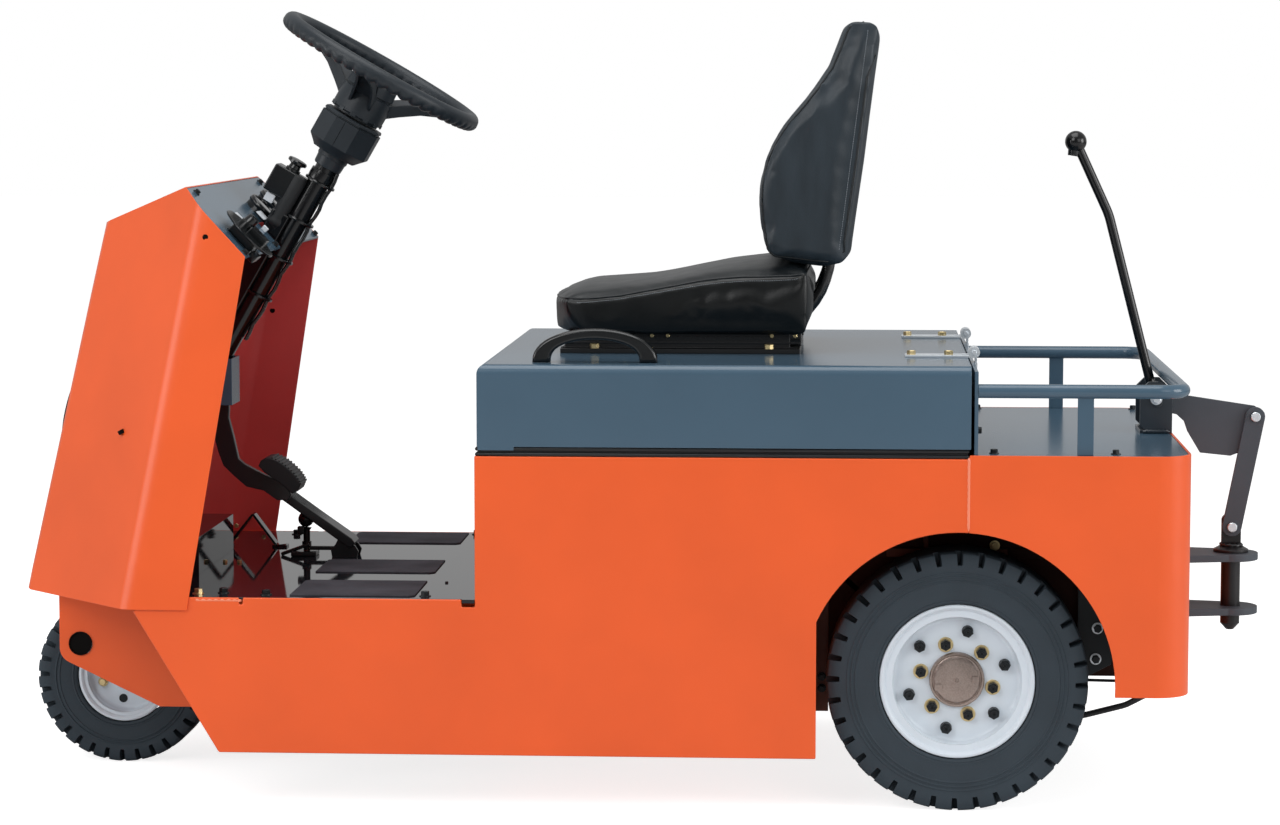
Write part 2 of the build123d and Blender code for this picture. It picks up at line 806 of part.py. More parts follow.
# Load rail: bent tube round the deck on two flat posts
with BuildPart() as load_rail:
    with BuildLine() as rail_path:
        FilletPolyline(
            (bulkhead_x, rail_y, rail_z),
            (rail_rear_x, rail_y, rail_z),
            (rail_rear_x, -rail_y, rail_z),
            (bulkhead_x, -rail_y, rail_z),
            radius=rail_corner_r,
        )
    with BuildSketch(crosswise(bulkhead_x)):
        with Locations((rail_y, rail_z)):
            Circle(tube_r)
    sweep()
    for sign in (1, -1):
        with BuildSketch(Plane.XY.offset(deck_z)):
            with Locations((post_x, sign * rail_y)):
                Rectangle(post_w, post_t)
        extrude(amount=rail_z - deck_z)
load_rail.part.label = "load_rail"
export_step(load_rail.part, "parts/load_rail.step")

# Lever bracket: two plates on the deck, tied at the back, with the pivot pin across
with BuildPart() as lever_bracket:
    for sign in (1, -1):
        with BuildSketch(upright(sign * (bracket_half - bracket_t / 2))) as bracket_face:
            with Locations(((bracket_front_x + bracket_rear_x) / 2, (deck_z + bracket_top_z) / 2)):
                Rectangle(bracket_front_x - bracket_rear_x, bracket_top_z - deck_z)
            chamfer(bracket_face.vertices().group_by(Axis.Z)[-1], length=14)
        extrude(amount=bracket_t / 2, both=True)
    with BuildSketch(Plane.XY.offset(deck_z)):
        for sign in (1, -1):
            with Locations((bracket_rear_x + bracket_t / 2, sign * (bracket_half - 12))):
                Rectangle(bracket_t, 24)
    extrude(amount=60)
    with BuildSketch(Plane.XY.offset(deck_z)):
        with Locations(((bracket_front_x + bracket_rear_x) / 2, 0)):
            Rectangle(bracket_front_x - bracket_rear_x, 2 * bracket_half)
    extrude(amount=6)
    with BuildSketch(upright(0)):
        with Locations((pivot_x, pivot_z)):
            Circle(lever_pin_r)
    extrude(amount=bracket_half + 4, both=True)
lever_bracket.part.label = "lever_bracket"
export_step(lever_bracket.part, "parts/lever_bracket.step")

# Drawbar: two flat jaws on the tail, bored for the tow pin
with BuildPart() as drawbar:
    for jaw_z in (lower_jaw_z, upper_jaw_z):
        with BuildSketch(Plane.XY.offset(jaw_z)):
            with BuildLine():
                reach = tail_x - tow_x
                lean_angle = atan2(jaw_root_half - jaw_tip_r, reach)
                touch_x = tow_x + jaw_tip_r * sin(lean_angle)
                touch_y = jaw_tip_r * cos(lean_angle)
                Polyline((touch_x, touch_y), (tail_x, jaw_root_half), (tail_x, -jaw_root_half), (touch_x, -touch_y))
                ThreePointArc((touch_x, -touch_y), (tow_x - jaw_tip_r, 0), (touch_x, touch_y))
            make_face()
            with Locations((tow_x, 0)):
                Circle(tow_pin_r + skin_gap, mode=Mode.SUBTRACT)
        extrude(amount=jaw_t)
drawbar.part.label = "drawbar"
export_step(drawbar.part, "parts/drawbar.step")

# Rear axle: tube, gear case, spindles and the drive motor behind it
beam_end = rear_track / 2 - rear_flange_half - 10
with BuildPart() as rear_axle:
    axle_plane = Plane(origin=(rear_axle_x, 0, rear_tyre_r), x_dir=(0, 1, 0), z_dir=(1, 0, 0))
    with BuildSketch(axle_plane):
        with BuildLine():
            Polyline(
                (-beam_end, 0),
                (-beam_end, beam_r),
                (-120, beam_r),
                (-75, 100),
                (75, 100),
                (120, beam_r),
                (beam_end, beam_r),
                (beam_end, 0),
                close=True,
            )
        make_face()
    revolve(axis=Axis(axle_plane.origin, (0, 1, 0)))
    with BuildSketch(upright(0)):
        with Locations((rear_axle_x, rear_tyre_r)):
            Circle(rear_spindle_r)
    extrude(amount=rear_track / 2 + rear_disc_out - disc_t, both=True)
    with BuildSketch(crosswise(rear_axle_x - 60)):
        with Locations((0, 265)):
            Circle(92)
    extrude(amount=-265)
    for sign in (1, -1):
        cable_y = sign * (frame_half + cable_reach / 2)
        with BuildLine():
            cable = FilletPolyline(
                (rear_axle_x - 22, cable_y, rear_tyre_r - 22),
                (rear_axle_x - 112, cable_y, 142),
                (rear_axle_x - 196, cable_y, 129),
                (rear_axle_x - 276, cable_y, 150),
                (cable_end_x, cable_y, 176),
                (cable_end_x, cable_y, tail_bottom_z),
                radius=(90, 90, 60, 14),
            )
        with BuildSketch(Plane(origin=cable @ 0, z_dir=cable % 0)):
            RegularPolygon(cable_r, 8)
        sweep(path=cable)
rear_axle.part.label = "rear_axle"
export_step(rear_axle.part, "parts/rear_axle.step")

# Fixed hinge leaves on the bulkhead, each with its middle knuckle and the pin
with BuildPart() as fixed_hinge_leaves:
    for sign in (1, -1):
        with BuildSketch(crosswise(bulkhead_x - leaf_t)):
            with Locations((sign * hinge_y, 660)):
                Rectangle(2 * leaf_half, 90)
            with Locations((sign * hinge_y, 707)):
                Rectangle(2 * middle_knuckle - 1, 20)
        extrude(amount=leaf_t)
        with BuildSketch(upright(sign * hinge_y)):
            with Locations((hinge_x, hinge_z)):
                Circle(knuckle_r)
        extrude(amount=middle_knuckle - 0.5, both=True)
        with BuildSketch(upright(sign * hinge_y)):
            with Locations((hinge_x, hinge_z)):
                Circle(hinge_pin_r)
        extrude(amount=leaf_half + 2, both=True)
fixed_hinge_leaves.part.label = "fixed_hinge_leaves"
export_step(fixed_hinge_leaves.part, "parts/fixed_hinge_leaves.step")

# Battery cover: folded box, open underneath
with BuildPart() as battery_cover:
    cover_middle_x = (cover_front_x + cover_rear_x) / 2
    with BuildSketch(Plane.XY.offset(cover_bottom_z)):
        with Locations((cover_middle_x, 0)):
            Rectangle(cover_front_x - cover_rear_x, 2 * half_width)
    extrude(amount=cover_top_z - cover_bottom_z)
    top_edges = battery_cover.faces().sort_by(Axis.Z)[-1].edges().sort_by(Axis.X)[1:]
    fillet(top_edges, radius=cover_edge_r)
    offset(amount=-cover_t, openings=battery_cover.faces().sort_by(Axis.Z)[0])
battery_cover.part.label = "battery_cover"
export_step(battery_cover.part, "parts/battery_cover.step")

# Moving hinge leaves on the cover, each with two outer knuckles
with BuildPart() as cover_hinge_leaves:
    for sign in (1, -1):
        leaf_end_x = hinge_x + leaf_length
        leaf_start_x = cover_rear_x - 2
        with BuildSketch(Plane.XY.offset(cover_top_z)):
            with Locations(((leaf_end_x + leaf_start_x) / 2, sign * hinge_y)):
                Rectangle(leaf_end_x - leaf_start_x, 2 * leaf_half)
            with Locations((leaf_start_x, sign * hinge_y)):
                Rectangle(24, 2 * middle_knuckle + 1, mode=Mode.SUBTRACT)
        extrude(amount=leaf_t)
        for end in (1, -1):
            knuckle_length = leaf_half - middle_knuckle - 0.5
            knuckle_y = sign * hinge_y + end * (leaf_half - knuckle_length / 2)
            with BuildSketch(upright(knuckle_y)):
                with Locations((hinge_x, hinge_z)):
                    Circle(knuckle_r)
            extrude(amount=knuckle_length / 2, both=True)
        with BuildSketch(upright(sign * hinge_y)):
            with Locations((hinge_x, hinge_z)):
                Circle(hinge_pin_r + running_fit)
        extrude(amount=leaf_half + 1, both=True, mode=Mode.SUBTRACT)
cover_hinge_leaves.part.label = "cover_hinge_leaves"
export_step(cover_hinge_leaves.part, "parts/cover_hinge_leaves.step")

# Cover handle: bridge grip near the left edge
handle_y = half_width - 55
handle_rear_x = rear_axle_x + 476
handle_front_x = rear_axle_x + 674
handle_height = 54
with BuildPart() as cover_handle:
    with BuildSketch(upright(handle_y)):
        with BuildLine():
            handle_middle_x = (handle_rear_x + handle_front_x) / 2
            Line((handle_rear_x, cover_top_z), (handle_rear_x + 34, cover_top_z))
            ThreePointArc(
                (handle_rear_x + 34, cover_top_z),
                (handle_middle_x, cover_top_z + handle_height - 17),
                (handle_front_x - 34, cover_top_z),
            )
            Line((handle_front_x - 34, cover_top_z), (handle_front_x, cover_top_z))
            ThreePointArc(
                (handle_front_x, cover_top_z),
                (handle_middle_x, cover_top_z + handle_height),
                (handle_rear_x, cover_top_z),
            )
        make_face()
    extrude(amount=14, both=True)
cover_handle.part.label = "cover_handle"
export_step(cover_handle.part, "parts/cover_handle.step")

# Seat base: plate on the cover with two slide rails
base_rear_x = seat_rear_x - 2
base_front_x = seat_front_x + 6
with BuildPart() as seat_base:
    with BuildSketch(Plane.XY.offset(cover_top_z)):
        with Locations(((base_rear_x + base_front_x) / 2, 0)):
            Rectangle(base_front_x - base_rear_x, 2 * rail_half + 60)
    extrude(amount=base_t)
    with BuildSketch(Plane.XY.offset(cover_top_z + base_t)):
        for sign in (1, -1):
            with Locations(((base_rear_x + base_front_x) / 2 + 5, sign * rail_half)):
                Rectangle(base_front_x - base_rear_x - 24, slide_w)
    extrude(amount=seat_bottom_z - skin_gap - cover_top_z - base_t)
seat_base.part.label = "seat_base"
export_step(seat_base.part, "parts/seat_base.step")

# Seat cushion
with BuildPart() as seat_cushion:
    with BuildSketch(upright(0)) as cushion_side:
        with BuildLine():
            Polyline(
                (seat_rear_x + 14, seat_bottom_z),
                (seat_front_x - 22, seat_bottom_z),
                (seat_front_x, seat_bottom_z + 55),
                (seat_front_x - 36, seat_bottom_z + 87),
                (seat_front_x - 130, seat_bottom_z + 95),
                (seat_rear_x + 130, seat_bottom_z + 117),
                (seat_rear_x + 6, seat_bottom_z + 127),
                (seat_rear_x - 14, seat_bottom_z + 55),
                close=True,
            )
        make_face()
    extrude(amount=seat_half, both=True)
    top_edges = seat_cushion.edges().filter_by(Axis.Y, reverse=True).group_by(Axis.Y)
    chamfer(top_edges[0] + top_edges[-1], length=12)
seat_cushion.part.label = "seat_cushion"
export_step(seat_cushion.part, "parts/seat_cushion.step")

# Seat frame: two bent tubes from the slide rails up to the back
stay_z = seat_bottom_z - 14
with BuildPart() as seat_frame:
    for sign in (1, -1):
        with BuildLine(upright(sign * stay_y)) as stay_path:
            stay = FilletPolyline(
                (seat_rear_x + 44, stay_z),
                (seat_rear_x - 13, stay_z),
                (seat_back_foot_x + 12, seat_back_foot_z + 16),
                radius=30,
            )
        with BuildSketch(Plane(origin=stay @ 0, z_dir=stay % 0)):
            Circle(stay_r)
        sweep(path=stay)
    back_foot = Vector(seat_back_foot_x, 0, seat_back_foot_z)
    split(bisect_by=Plane(origin=back_foot, z_dir=(-seat_back_foot_rise, 0, seat_back_foot_run)), keep=Keep.BOTTOM)
    with BuildSketch(upright(0)):
        with Locations((seat_rear_x + 36, stay_z)):
            Circle(stay_r - 1)
    extrude(amount=rail_half - slide_w / 2 - skin_gap, both=True)
seat_frame.part.label = "seat_frame"
export_step(seat_frame.part, "parts/seat_frame.step")

# Seat back: thick at the lumbar bulge, thin at the top
with BuildPart() as seat_back:
    with BuildSketch(upright(0)) as back_side:
        with BuildLine():
            Polyline(
                (seat_back_foot_x + seat_back_foot_run, seat_back_foot_z + seat_back_foot_rise),
                (seat_back_foot_x + 136, seat_back_foot_z + 94),
                (seat_back_foot_x + 121, seat_back_foot_z + 181),
                (seat_back_foot_x + 47, seat_back_foot_z + 273),
                (seat_back_foot_x + 6, seat_back_foot_z + 356),
                (seat_back_foot_x - 10, seat_back_foot_z + 390),
                (seat_back_foot_x - 51, seat_back_foot_z + 384),
                (seat_back_foot_x, seat_back_foot_z),
                close=True,
            )
        make_face()
    extrude(amount=seat_back_half, both=True)
seat_back.part.label = "seat_back"
export_step(seat_back.part, "parts/seat_back.step")

# Tow lever: hub, bent rod with a ball grip, and the arm that lifts the link
with BuildPart() as tow_lever:
    with BuildSketch(upright(0)):
        with BuildLine():
            Polyline(
                (rear_axle_x - 330, 637),
                (rear_axle_x - 385, 634),
                (eye_x, eye_z + 17),
                (eye_x - 16, eye_z + 6),
                (eye_x - 14, eye_z - 12),
                (rear_axle_x - 480, 540),
                (rear_axle_x - 462, 533),
                (rear_axle_x - 412, 538),
                (rear_axle_x - 391, 573),
                (rear_axle_x - 385, 590),
                (rear_axle_x - 372, 602),
                (rear_axle_x - 330, 611),
                close=True,
            )
        make_face()
    extrude(amount=plate_half, both=True)
    with BuildSketch(upright(0)):
        with Locations((pivot_x, pivot_z)):
            Circle(lever_hub_r)
    extrude(amount=bracket_half - bracket_t - 1, both=True)
    with BuildLine(upright(0)):
        rod = FilletPolyline(
            (rear_axle_x - 334, 634),
            (rear_axle_x - 256, 935),
            (rear_axle_x - 203, 1050),
            radius=120,
        )
    with BuildSketch(Plane(origin=rod @ 0, z_dir=rod % 0)):
        Circle(8)
    sweep(path=rod)
    with Locations((rear_axle_x - 200, 0, 1056)):
        Sphere(18)
    with BuildSketch(upright(0)):
        with Locations((eye_x, eye_z)):
            Circle(lever_pin_r)
    extrude(amount=-(plate_half + link_t + 3))
    with BuildSketch(upright(0)):
        with Locations((pivot_x, pivot_z)):
            Circle(lever_pin_r + running_fit)
    extrude(amount=bracket_half, both=True, mode=Mode.SUBTRACT)
tow_lever.part.label = "tow_lever"
export_step(tow_lever.part, "parts/tow_lever.step")

# Tow link: flat bar hung on the lever's eye pin, with its own pin end at the foot
link_y = plate_half + 0.5
with BuildPart() as tow_link:
    link_dx = tow_x - eye_x
    link_dz = link_foot_z - eye_z
    link_length = hypot(link_dx, link_dz)
    link_plane = Plane(
        origin=(eye_x, link_y, eye_z),
        x_dir=(link_dx / link_length, 0, link_dz / link_length),
        z_dir=(0, 1, 0),
    )
    with BuildSketch(link_plane):
        with Locations((link_length / 2, 0)):
            SlotCenterToCenter(link_length, link_w)
        Circle(lever_pin_r + running_fit, mode=Mode.SUBTRACT)
    extrude(amount=link_t)
    with BuildSketch(link_plane.offset(link_t)):
        with Locations((link_length, 0)):
            Circle(lever_pin_r)
    extrude(amount=2.5)
tow_link.part.label = "tow_link"
export_step(tow_link.part, "parts/tow_link.step")

# Tow pin: round pin with a pointed foot, a flange that rests on the upper jaw and a tongue
flange_z = upper_jaw_z + jaw_t
with BuildPart() as tow_pin:
    with BuildSketch(Plane(origin=(tow_x, 0, 0), x_dir=(1, 0, 0), z_dir=(0, -1, 0))):
        with BuildLine():
            Polyline(
                (0, tow_tip_z),
                (6, tow_tip_z),
                (tow_pin_r, tow_tip_z + 11),
                (tow_pin_r, flange_z),
                (29, flange_z),
                (29, flange_z + 5),
                (20, flange_z + 10),
                (0, flange_z + 10),
                close=True,
            )
        make_face()
    revolve(axis=Axis((tow_x, 0, 0), (0, 0, 1)))
    with BuildSketch(upright(0)) as tongue_face:
        with Locations((tow_x, (flange_z + 5 + link_foot_z + 20) / 2)):
            Rectangle(2 * tow_pin_r, link_foot_z + 15 - flange_z)
        fillet(tongue_face.vertices().group_by(Axis.Z)[-1], radius=10)
    extrude(amount=plate_half, both=True)
tow_pin.part.label = "tow_pin"
export_step(tow_pin.part, "parts/tow_pin.step")


def wheel_plane(x, y, z, side):
    """Plane through a wheel's middle: local x points outward along the axle, local y up."""
    return Plane(origin=(x, y, z), x_dir=(0, side, 0), z_dir=(side, 0, 0))


def tread_plane(x, y, z):
    """Plane through a tyre's middle, square to its axle."""
    return Plane(origin=(x, y, z), x_dir=(1, 0, 0), z_dir=(0, 1, 0))


def tyre(plane, tyre_r, half, flange_r, flange_half, seat_r, flats):
    """Ring of rubber in flats, with a round bore for the rim; its tread blocks are left out."""
    bead = flange_half - flange_t
    sections = (
        # along the axle, radius
        (-bead, flange_r + tyre_gap),
        (-half, flange_r + wall_rise),
        (-half, tyre_r - shoulder_drop),
        (shoulder_run - half, tyre_r),
        (half - shoulder_run, tyre_r),
        (half, tyre_r - shoulder_drop),
        (half, flange_r + wall_rise),
        (bead, flange_r + tyre_gap),
    )
    with BuildPart() as ring:
        for along, radius in sections:
            with BuildSketch(plane.offset(along)):
                RegularPolygon(radius, flats)
        loft(ruled=True)
        with BuildSketch(plane.offset(-half)):
            Circle(seat_r)
        extrude(amount=2 * half, mode=Mode.SUBTRACT)
    return ring


def rim(plane, flange_r, flange_half, seat_r, disc_out, hub_r, bore_r, cap_r, cap_height):
    """Steel rim with its lip, a dished disc, the hub behind it and the hub cap in front."""
    bead = flange_half - flange_t
    well_r = seat_r - rim_t
    disc_in = disc_out - disc_t
    hub_in = disc_in - 40
    with BuildPart() as wheel:
        with BuildSketch(plane):
            with BuildLine():
                Polyline(
                    (-flange_half, flange_r),
                    (-bead, flange_r),
                    (-bead, seat_r),
                    (bead, seat_r),
                    (bead, flange_r),
                    (flange_half, flange_r),
                    (flange_half, flange_r - flange_t),
                    (bead + 1, well_r),
                    (disc_out + 6, well_r),
                    (disc_out, well_r - 8),
                    (disc_out, cap_r),
                    (disc_out + cap_height, cap_r - 2),
                    (disc_out + cap_height, 0),
                    (disc_in, 0),
                    (disc_in, bore_r + running_fit),
                    (hub_in, bore_r + running_fit),
                    (hub_in, hub_r),
                    (disc_in, hub_r),
                    (disc_in, well_r),
                    (-flange_half, well_r),
                    close=True,
                )
            make_face()
        revolve(axis=Axis(plane.origin, plane.x_dir))
    return wheel


# Rear wheels
for side, sign in (("left", 1), ("right", -1)):
    place = wheel_plane(rear_axle_x, sign * rear_track / 2, rear_tyre_r, sign)
    rear_tyre = tyre(
        tread_plane(rear_axle_x, sign * rear_track / 2, rear_tyre_r),
        rear_tyre_r,
        rear_tyre_half,
        rear_flange_r,
        rear_flange_half,
        rear_seat_r,
        rear_flats,
    )
    rear_tyre.part.label = f"rear_tyre_{side}"
    export_step(rear_tyre.part, f"parts/rear_tyre_{side}.step")
    rear_rim = rim(
        place,
        rear_flange_r,
        rear_flange_half,
        rear_seat_r,
        rear_disc_out,
        rear_hub_r,
        rear_spindle_r,
        rear_cap_r,
        rear_cap_height,
    )
    rear_rim.part.label = f"rear_rim_{side}"
    export_step(rear_rim.part, f"parts/rear_rim_{side}.step")

# Front wheel
place = wheel_plane(front_axle_x, 0, front_tyre_r, 1)
front_tyre = tyre(
    tread_plane(front_axle_x, 0, front_tyre_r),
    front_tyre_r,
    front_tyre_half,
    front_flange_r,
    front_flange_half,
    front_seat_r,
    front_flats,
)
front_tyre.part.label = "front_tyre"
export_step(front_tyre.part, "parts/front_tyre.step")
front_rim = rim(
    place,
    front_flange_r,
    front_flange_half,
    front_seat_r,
    front_disc_out,
    front_hub_r,
    front_spindle_r,
    front_cap_r,
    front_cap_height,
)
front_rim.part.label = "front_rim"
export_step(front_rim.part, "parts/front_rim.step")

# Front fork: crown and kingpin, one arm down the right side and the stub axle
crown_top_z = frame_top_z - head_plate_t - fork_gap
arm_in = front_tyre_half + arm_gap
with BuildPart() as front_fork:
    with BuildSketch(Plane.XY.offset(crown_top_z - crown_t)):
        with Locations((front_axle_x, 0)):
            Circle(45)
        with Locations((front_axle_x, -(arm_in + arm_t) / 2)):
            Rectangle(80, arm_in + arm_t)
    extrude(amount=crown_t)
    with BuildSketch(Plane.XY.offset(crown_top_z)):
        with Locations((front_axle_x, 0)):
            Circle(kingpin_r)
    extrude(amount=frame_top_z + 35 - crown_top_z)
    with BuildSketch(upright(-(arm_in + arm_t / 2))):
        with BuildLine():
            Polyline(
                (front_axle_x - 40, crown_top_z),
                (front_axle_x + 40, crown_top_z),
                (front_axle_x + 30, front_tyre_r),
                (front_axle_x - 30, front_tyre_r),
                close=True,
            )
        make_face()
        with Locations((front_axle_x, front_tyre_r)):
            Circle(32)
    extrude(amount=arm_t / 2, both=True)
    with BuildSketch(upright(-arm_in)):
        with Locations((front_axle_x, front_tyre_r)):
            Circle(front_spindle_r)
    extrude(amount=-(arm_in + front_disc_out - disc_t - 1))
front_fork.part.label = "front_fork"
export_step(front_fork.part, "parts/front_fork.step")
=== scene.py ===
import json
from math import atan2, cos, hypot, pi, radians, sin

import bmesh
import bpy
from mathutils import Matrix, Vector

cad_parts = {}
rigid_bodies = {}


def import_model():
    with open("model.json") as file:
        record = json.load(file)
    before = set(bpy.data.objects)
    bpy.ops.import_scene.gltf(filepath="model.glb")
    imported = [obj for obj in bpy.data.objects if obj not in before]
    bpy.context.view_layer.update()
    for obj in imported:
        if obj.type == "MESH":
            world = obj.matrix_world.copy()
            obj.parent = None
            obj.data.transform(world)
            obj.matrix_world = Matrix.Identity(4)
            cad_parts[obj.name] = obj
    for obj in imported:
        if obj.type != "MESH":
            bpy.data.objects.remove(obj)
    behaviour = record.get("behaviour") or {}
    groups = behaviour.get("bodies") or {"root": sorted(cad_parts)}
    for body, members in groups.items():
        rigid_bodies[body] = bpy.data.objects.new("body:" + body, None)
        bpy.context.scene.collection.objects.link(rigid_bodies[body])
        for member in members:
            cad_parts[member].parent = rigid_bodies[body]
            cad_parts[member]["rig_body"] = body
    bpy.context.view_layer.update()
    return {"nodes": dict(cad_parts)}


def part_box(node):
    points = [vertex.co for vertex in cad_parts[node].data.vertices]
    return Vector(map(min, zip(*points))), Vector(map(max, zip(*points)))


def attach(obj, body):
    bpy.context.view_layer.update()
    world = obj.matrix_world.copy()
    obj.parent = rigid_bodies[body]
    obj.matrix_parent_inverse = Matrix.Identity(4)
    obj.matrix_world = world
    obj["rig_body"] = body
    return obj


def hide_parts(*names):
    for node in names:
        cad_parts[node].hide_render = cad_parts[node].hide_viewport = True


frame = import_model()
nodes = frame["nodes"]
scene = bpy.context.scene

# Camera: a long lens level with the head of the steering column, square to the vehicle's
# left side and turned a little towards its front and down, as the photographer stood.
sensor_mm = 36
lens_px = 3500
image_w, image_h = 1280, 825
eye = Vector((-0.3517, 5.87, 1.1487))
sight_px = (855, 85)
lens = bpy.data.cameras.new("lens")
lens.sensor_width = sensor_mm
lens.lens = sensor_mm * lens_px / image_w
camera = bpy.data.objects.new("camera", lens)
scene.collection.objects.link(camera)
camera.location = eye
aim = Vector(((sight_px[0] - image_w / 2) / lens_px, -1, (sight_px[1] - image_h / 2) / lens_px))
camera.rotation_mode = "QUATERNION"
camera.rotation_quaternion = aim.to_track_quat("-Z", "Y")
scene.camera = camera
scene.view_settings.view_transform = "Standard"


# Studio: a pale floor that keeps the shadow, white surroundings that are seen and mirrored,
# and five large softboxes that light the vehicle evenly.
def linear(hex_colour):
    """sRGB hex, as read from a paint card, to the linear colour that the shader takes."""
    steps = [int(hex_colour[i : i + 2], 16) / 255 for i in (1, 3, 5)]
    return tuple(s / 12.92 if s <= 0.04045 else ((s + 0.055) / 1.055) ** 2.4 for s in steps) + (1.0,)


def wire(tree, node, inputs):
    """Link a node's inputs to sockets, or set them to values, by name."""
    for name, value in inputs.items():
        if isinstance(value, bpy.types.NodeSocket):
            tree.links.new(value, node.inputs[name])
        else:
            node.inputs[name].default_value = value


def add_node(tree, kind, settings=None, inputs=None):
    """Add a shader node, set its properties and wire its inputs."""
    node = tree.nodes.new(kind)
    for name, value in (settings or {}).items():
        setattr(node, name, value)
    wire(tree, node, inputs or {})
    return node


def combined(tree, operation, *values):
    """Result of a math operation on sockets and numbers."""
    return add_node(tree, "ShaderNodeMath", {"operation": operation}, dict(enumerate(values))).outputs[0]


def blank_material(name):
    """A named material with an empty Principled shader, and its tree and shader."""
    material = bpy.data.materials.new(name)
    material.use_nodes = True
    tree = material.node_tree
    return material, tree, tree.nodes["Principled BSDF"]


bpy.ops.mesh.primitive_plane_add(size=60)
floor = bpy.context.object
floor.name = "studio_floor"
floor_finish, tree, shader = blank_material("matt_white_floor")
rays = add_node(tree, "ShaderNodeLightPath").outputs
glow = combined(tree, "MULTIPLY", rays["Is Camera Ray"], 0.8)
grey, white = linear("#D9D9D9"), (1, 1, 1, 1)
wire(tree, shader, {"Base Color": grey, "Roughness": 0.9, "Emission Color": white, "Emission Strength": glow})
floor.data.materials.append(floor_finish)

world = bpy.data.worlds.new("studio")
scene.world = world
world.use_nodes = True
tree = world.node_tree
rays = add_node(tree, "ShaderNodeLightPath").outputs
seen = combined(tree, "MAXIMUM", rays["Is Camera Ray"], rays["Is Transmission Ray"])
# Mirrored rays see the white sweep behind and above, and the dimmer room on the photographer's side
heading = add_node(tree, "ShaderNodeTexCoord").outputs["Generated"]
heading = add_node(tree, "ShaderNodeSeparateXYZ", inputs={"Vector": heading}).outputs
room = add_node(
    tree,
    "ShaderNodeMapRange",
    {"interpolation_type": "SMOOTHSTEP"},
    {
        "Value": combined(tree, "SUBTRACT", heading["Y"], heading["Z"]),
        "From Min": -0.2,
        "From Max": 0.6,
        "To Min": 0.5,
        "To Max": 0.16,
    },
)
room = combined(tree, "MULTIPLY", room.outputs["Result"], rays["Is Glossy Ray"])
matt = combined(tree, "MULTIPLY", rays["Is Diffuse Ray"], 0.3)
strength = combined(tree, "MAXIMUM", combined(tree, "MAXIMUM", seen, room), matt)
wire(tree, tree.nodes["Background"], {"Color": white, "Strength": strength})


def soft_lamp(name, place, target, size, power):
    """Square softbox at a place, turned towards a target."""
    light = bpy.data.lights.new(name, "AREA")
    light.size = size
    light.energy = power
    lamp = bpy.data.objects.new(name, light)
    scene.collection.objects.link(lamp)
    lamp.location = place
    lamp.rotation_mode = "QUATERNION"
    lamp.rotation_quaternion = (Vector(target) - Vector(place)).to_track_quat("-Z", "Y")


soft_lamp("key_box", (2.5, 4.5, 3.6), (0, 0, 0.5), 2.6, 86)
soft_lamp("fill_box", (-3.2, 4.2, 2.2), (0, 0, 0.5), 2.6, 36)
soft_lamp("top_box", (0, 0.6, 4.2), (0, 0, 0), 3.0, 80)
soft_lamp("tail_box", (-4.6, 1.4, 1.6), (-0.8, 0, 0.4), 2.2, 80)
soft_lamp("nose_box", (5.0, 2.2, 1.6), (0.6, 0, 0.6), 2.2, 60)


# Body shell: side plates, tail, frame plates, battery tray and the folded cowl. Mild steel
# sheet, bent and welded, then sprayed orange; edges are broken before painting.
rear_axle_x = (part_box("rear_tyre_left")[0].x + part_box("rear_tyre_left")[1].x) / 2
mm = 0.001


def noise(tree, place, scale, detail):
    """Fractal noise over a placement socket."""
    inputs = {"Vector": place, "Scale": scale, "Detail": detail}
    return add_node(tree, "ShaderNodeTexNoise", inputs=inputs).outputs["Fac"]


def drifting(tree, factor, colour, *stops):
    """Colour that drifts between shares of itself; each stop is a place on the factor and a share."""
    ramp = add_node(tree, "ShaderNodeValToRGB", inputs={"Fac": factor})
    for element, (place, share) in zip(ramp.color_ramp.elements, stops):
        element.position = place
        element.color = (*(channel * share for channel in linear(colour)[:3]), 1)
    return ramp.outputs["Color"]


def bumped(tree, height, strength, distance, **more):
    """Normal bent by a height map whose full height is a distance in metres."""
    inputs = {"Strength": strength, "Distance": distance, "Height": height, **more}
    return add_node(tree, "ShaderNodeBump", inputs=inputs).outputs["Normal"]


def roughened(tree, factor, roughness, swing):
    """Roughness that swings either way with a factor."""
    inputs = {"Value": factor, "To Min": roughness - swing, "To Max": roughness + swing}
    return add_node(tree, "ShaderNodeMapRange", inputs=inputs).outputs["Result"]


def enamel(name, colour, roughness, coat, peel=0.05, cloud=0.05, level=0.5):
    """Sprayed enamel: even colour with a faint drift, an orange peel about 2 mm across, a clear gloss."""
    material, tree, shader = blank_material(name)
    place = add_node(tree, "ShaderNodeTexCoord").outputs["Object"]
    inputs = {
        "Base Color": drifting(tree, noise(tree, place, 5, 3), colour, (0.3, 1 - cloud), (0.7, 1 + cloud)),
        "Normal": bumped(tree, noise(tree, place, 450, 2), peel, 0.5 * mm),
        "Roughness": roughness,
        "Specular IOR Level": level,
        "Coat Weight": coat,
        "Coat Roughness": 0.12,
    }
    wire(tree, shader, inputs)
    return material


def shaded(mesh, crease):
    """Smooth shading, kept sharp at edges steeper than the crease angle in degrees."""
    for polygon in mesh.polygons:
        polygon.use_smooth = True
    mesh.set_sharp_from_angle(angle=radians(crease))


def placed(obj, finishes, body, stands_for=()):
    """Give a finished object its materials, the body that it rides on and the nodes it replaces."""
    if obj.name not in scene.collection.objects:
        scene.collection.objects.link(obj)
    for finish in finishes:
        obj.data.materials.append(finish)
    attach(obj, body)
    if stands_for:
        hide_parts(*stands_for)


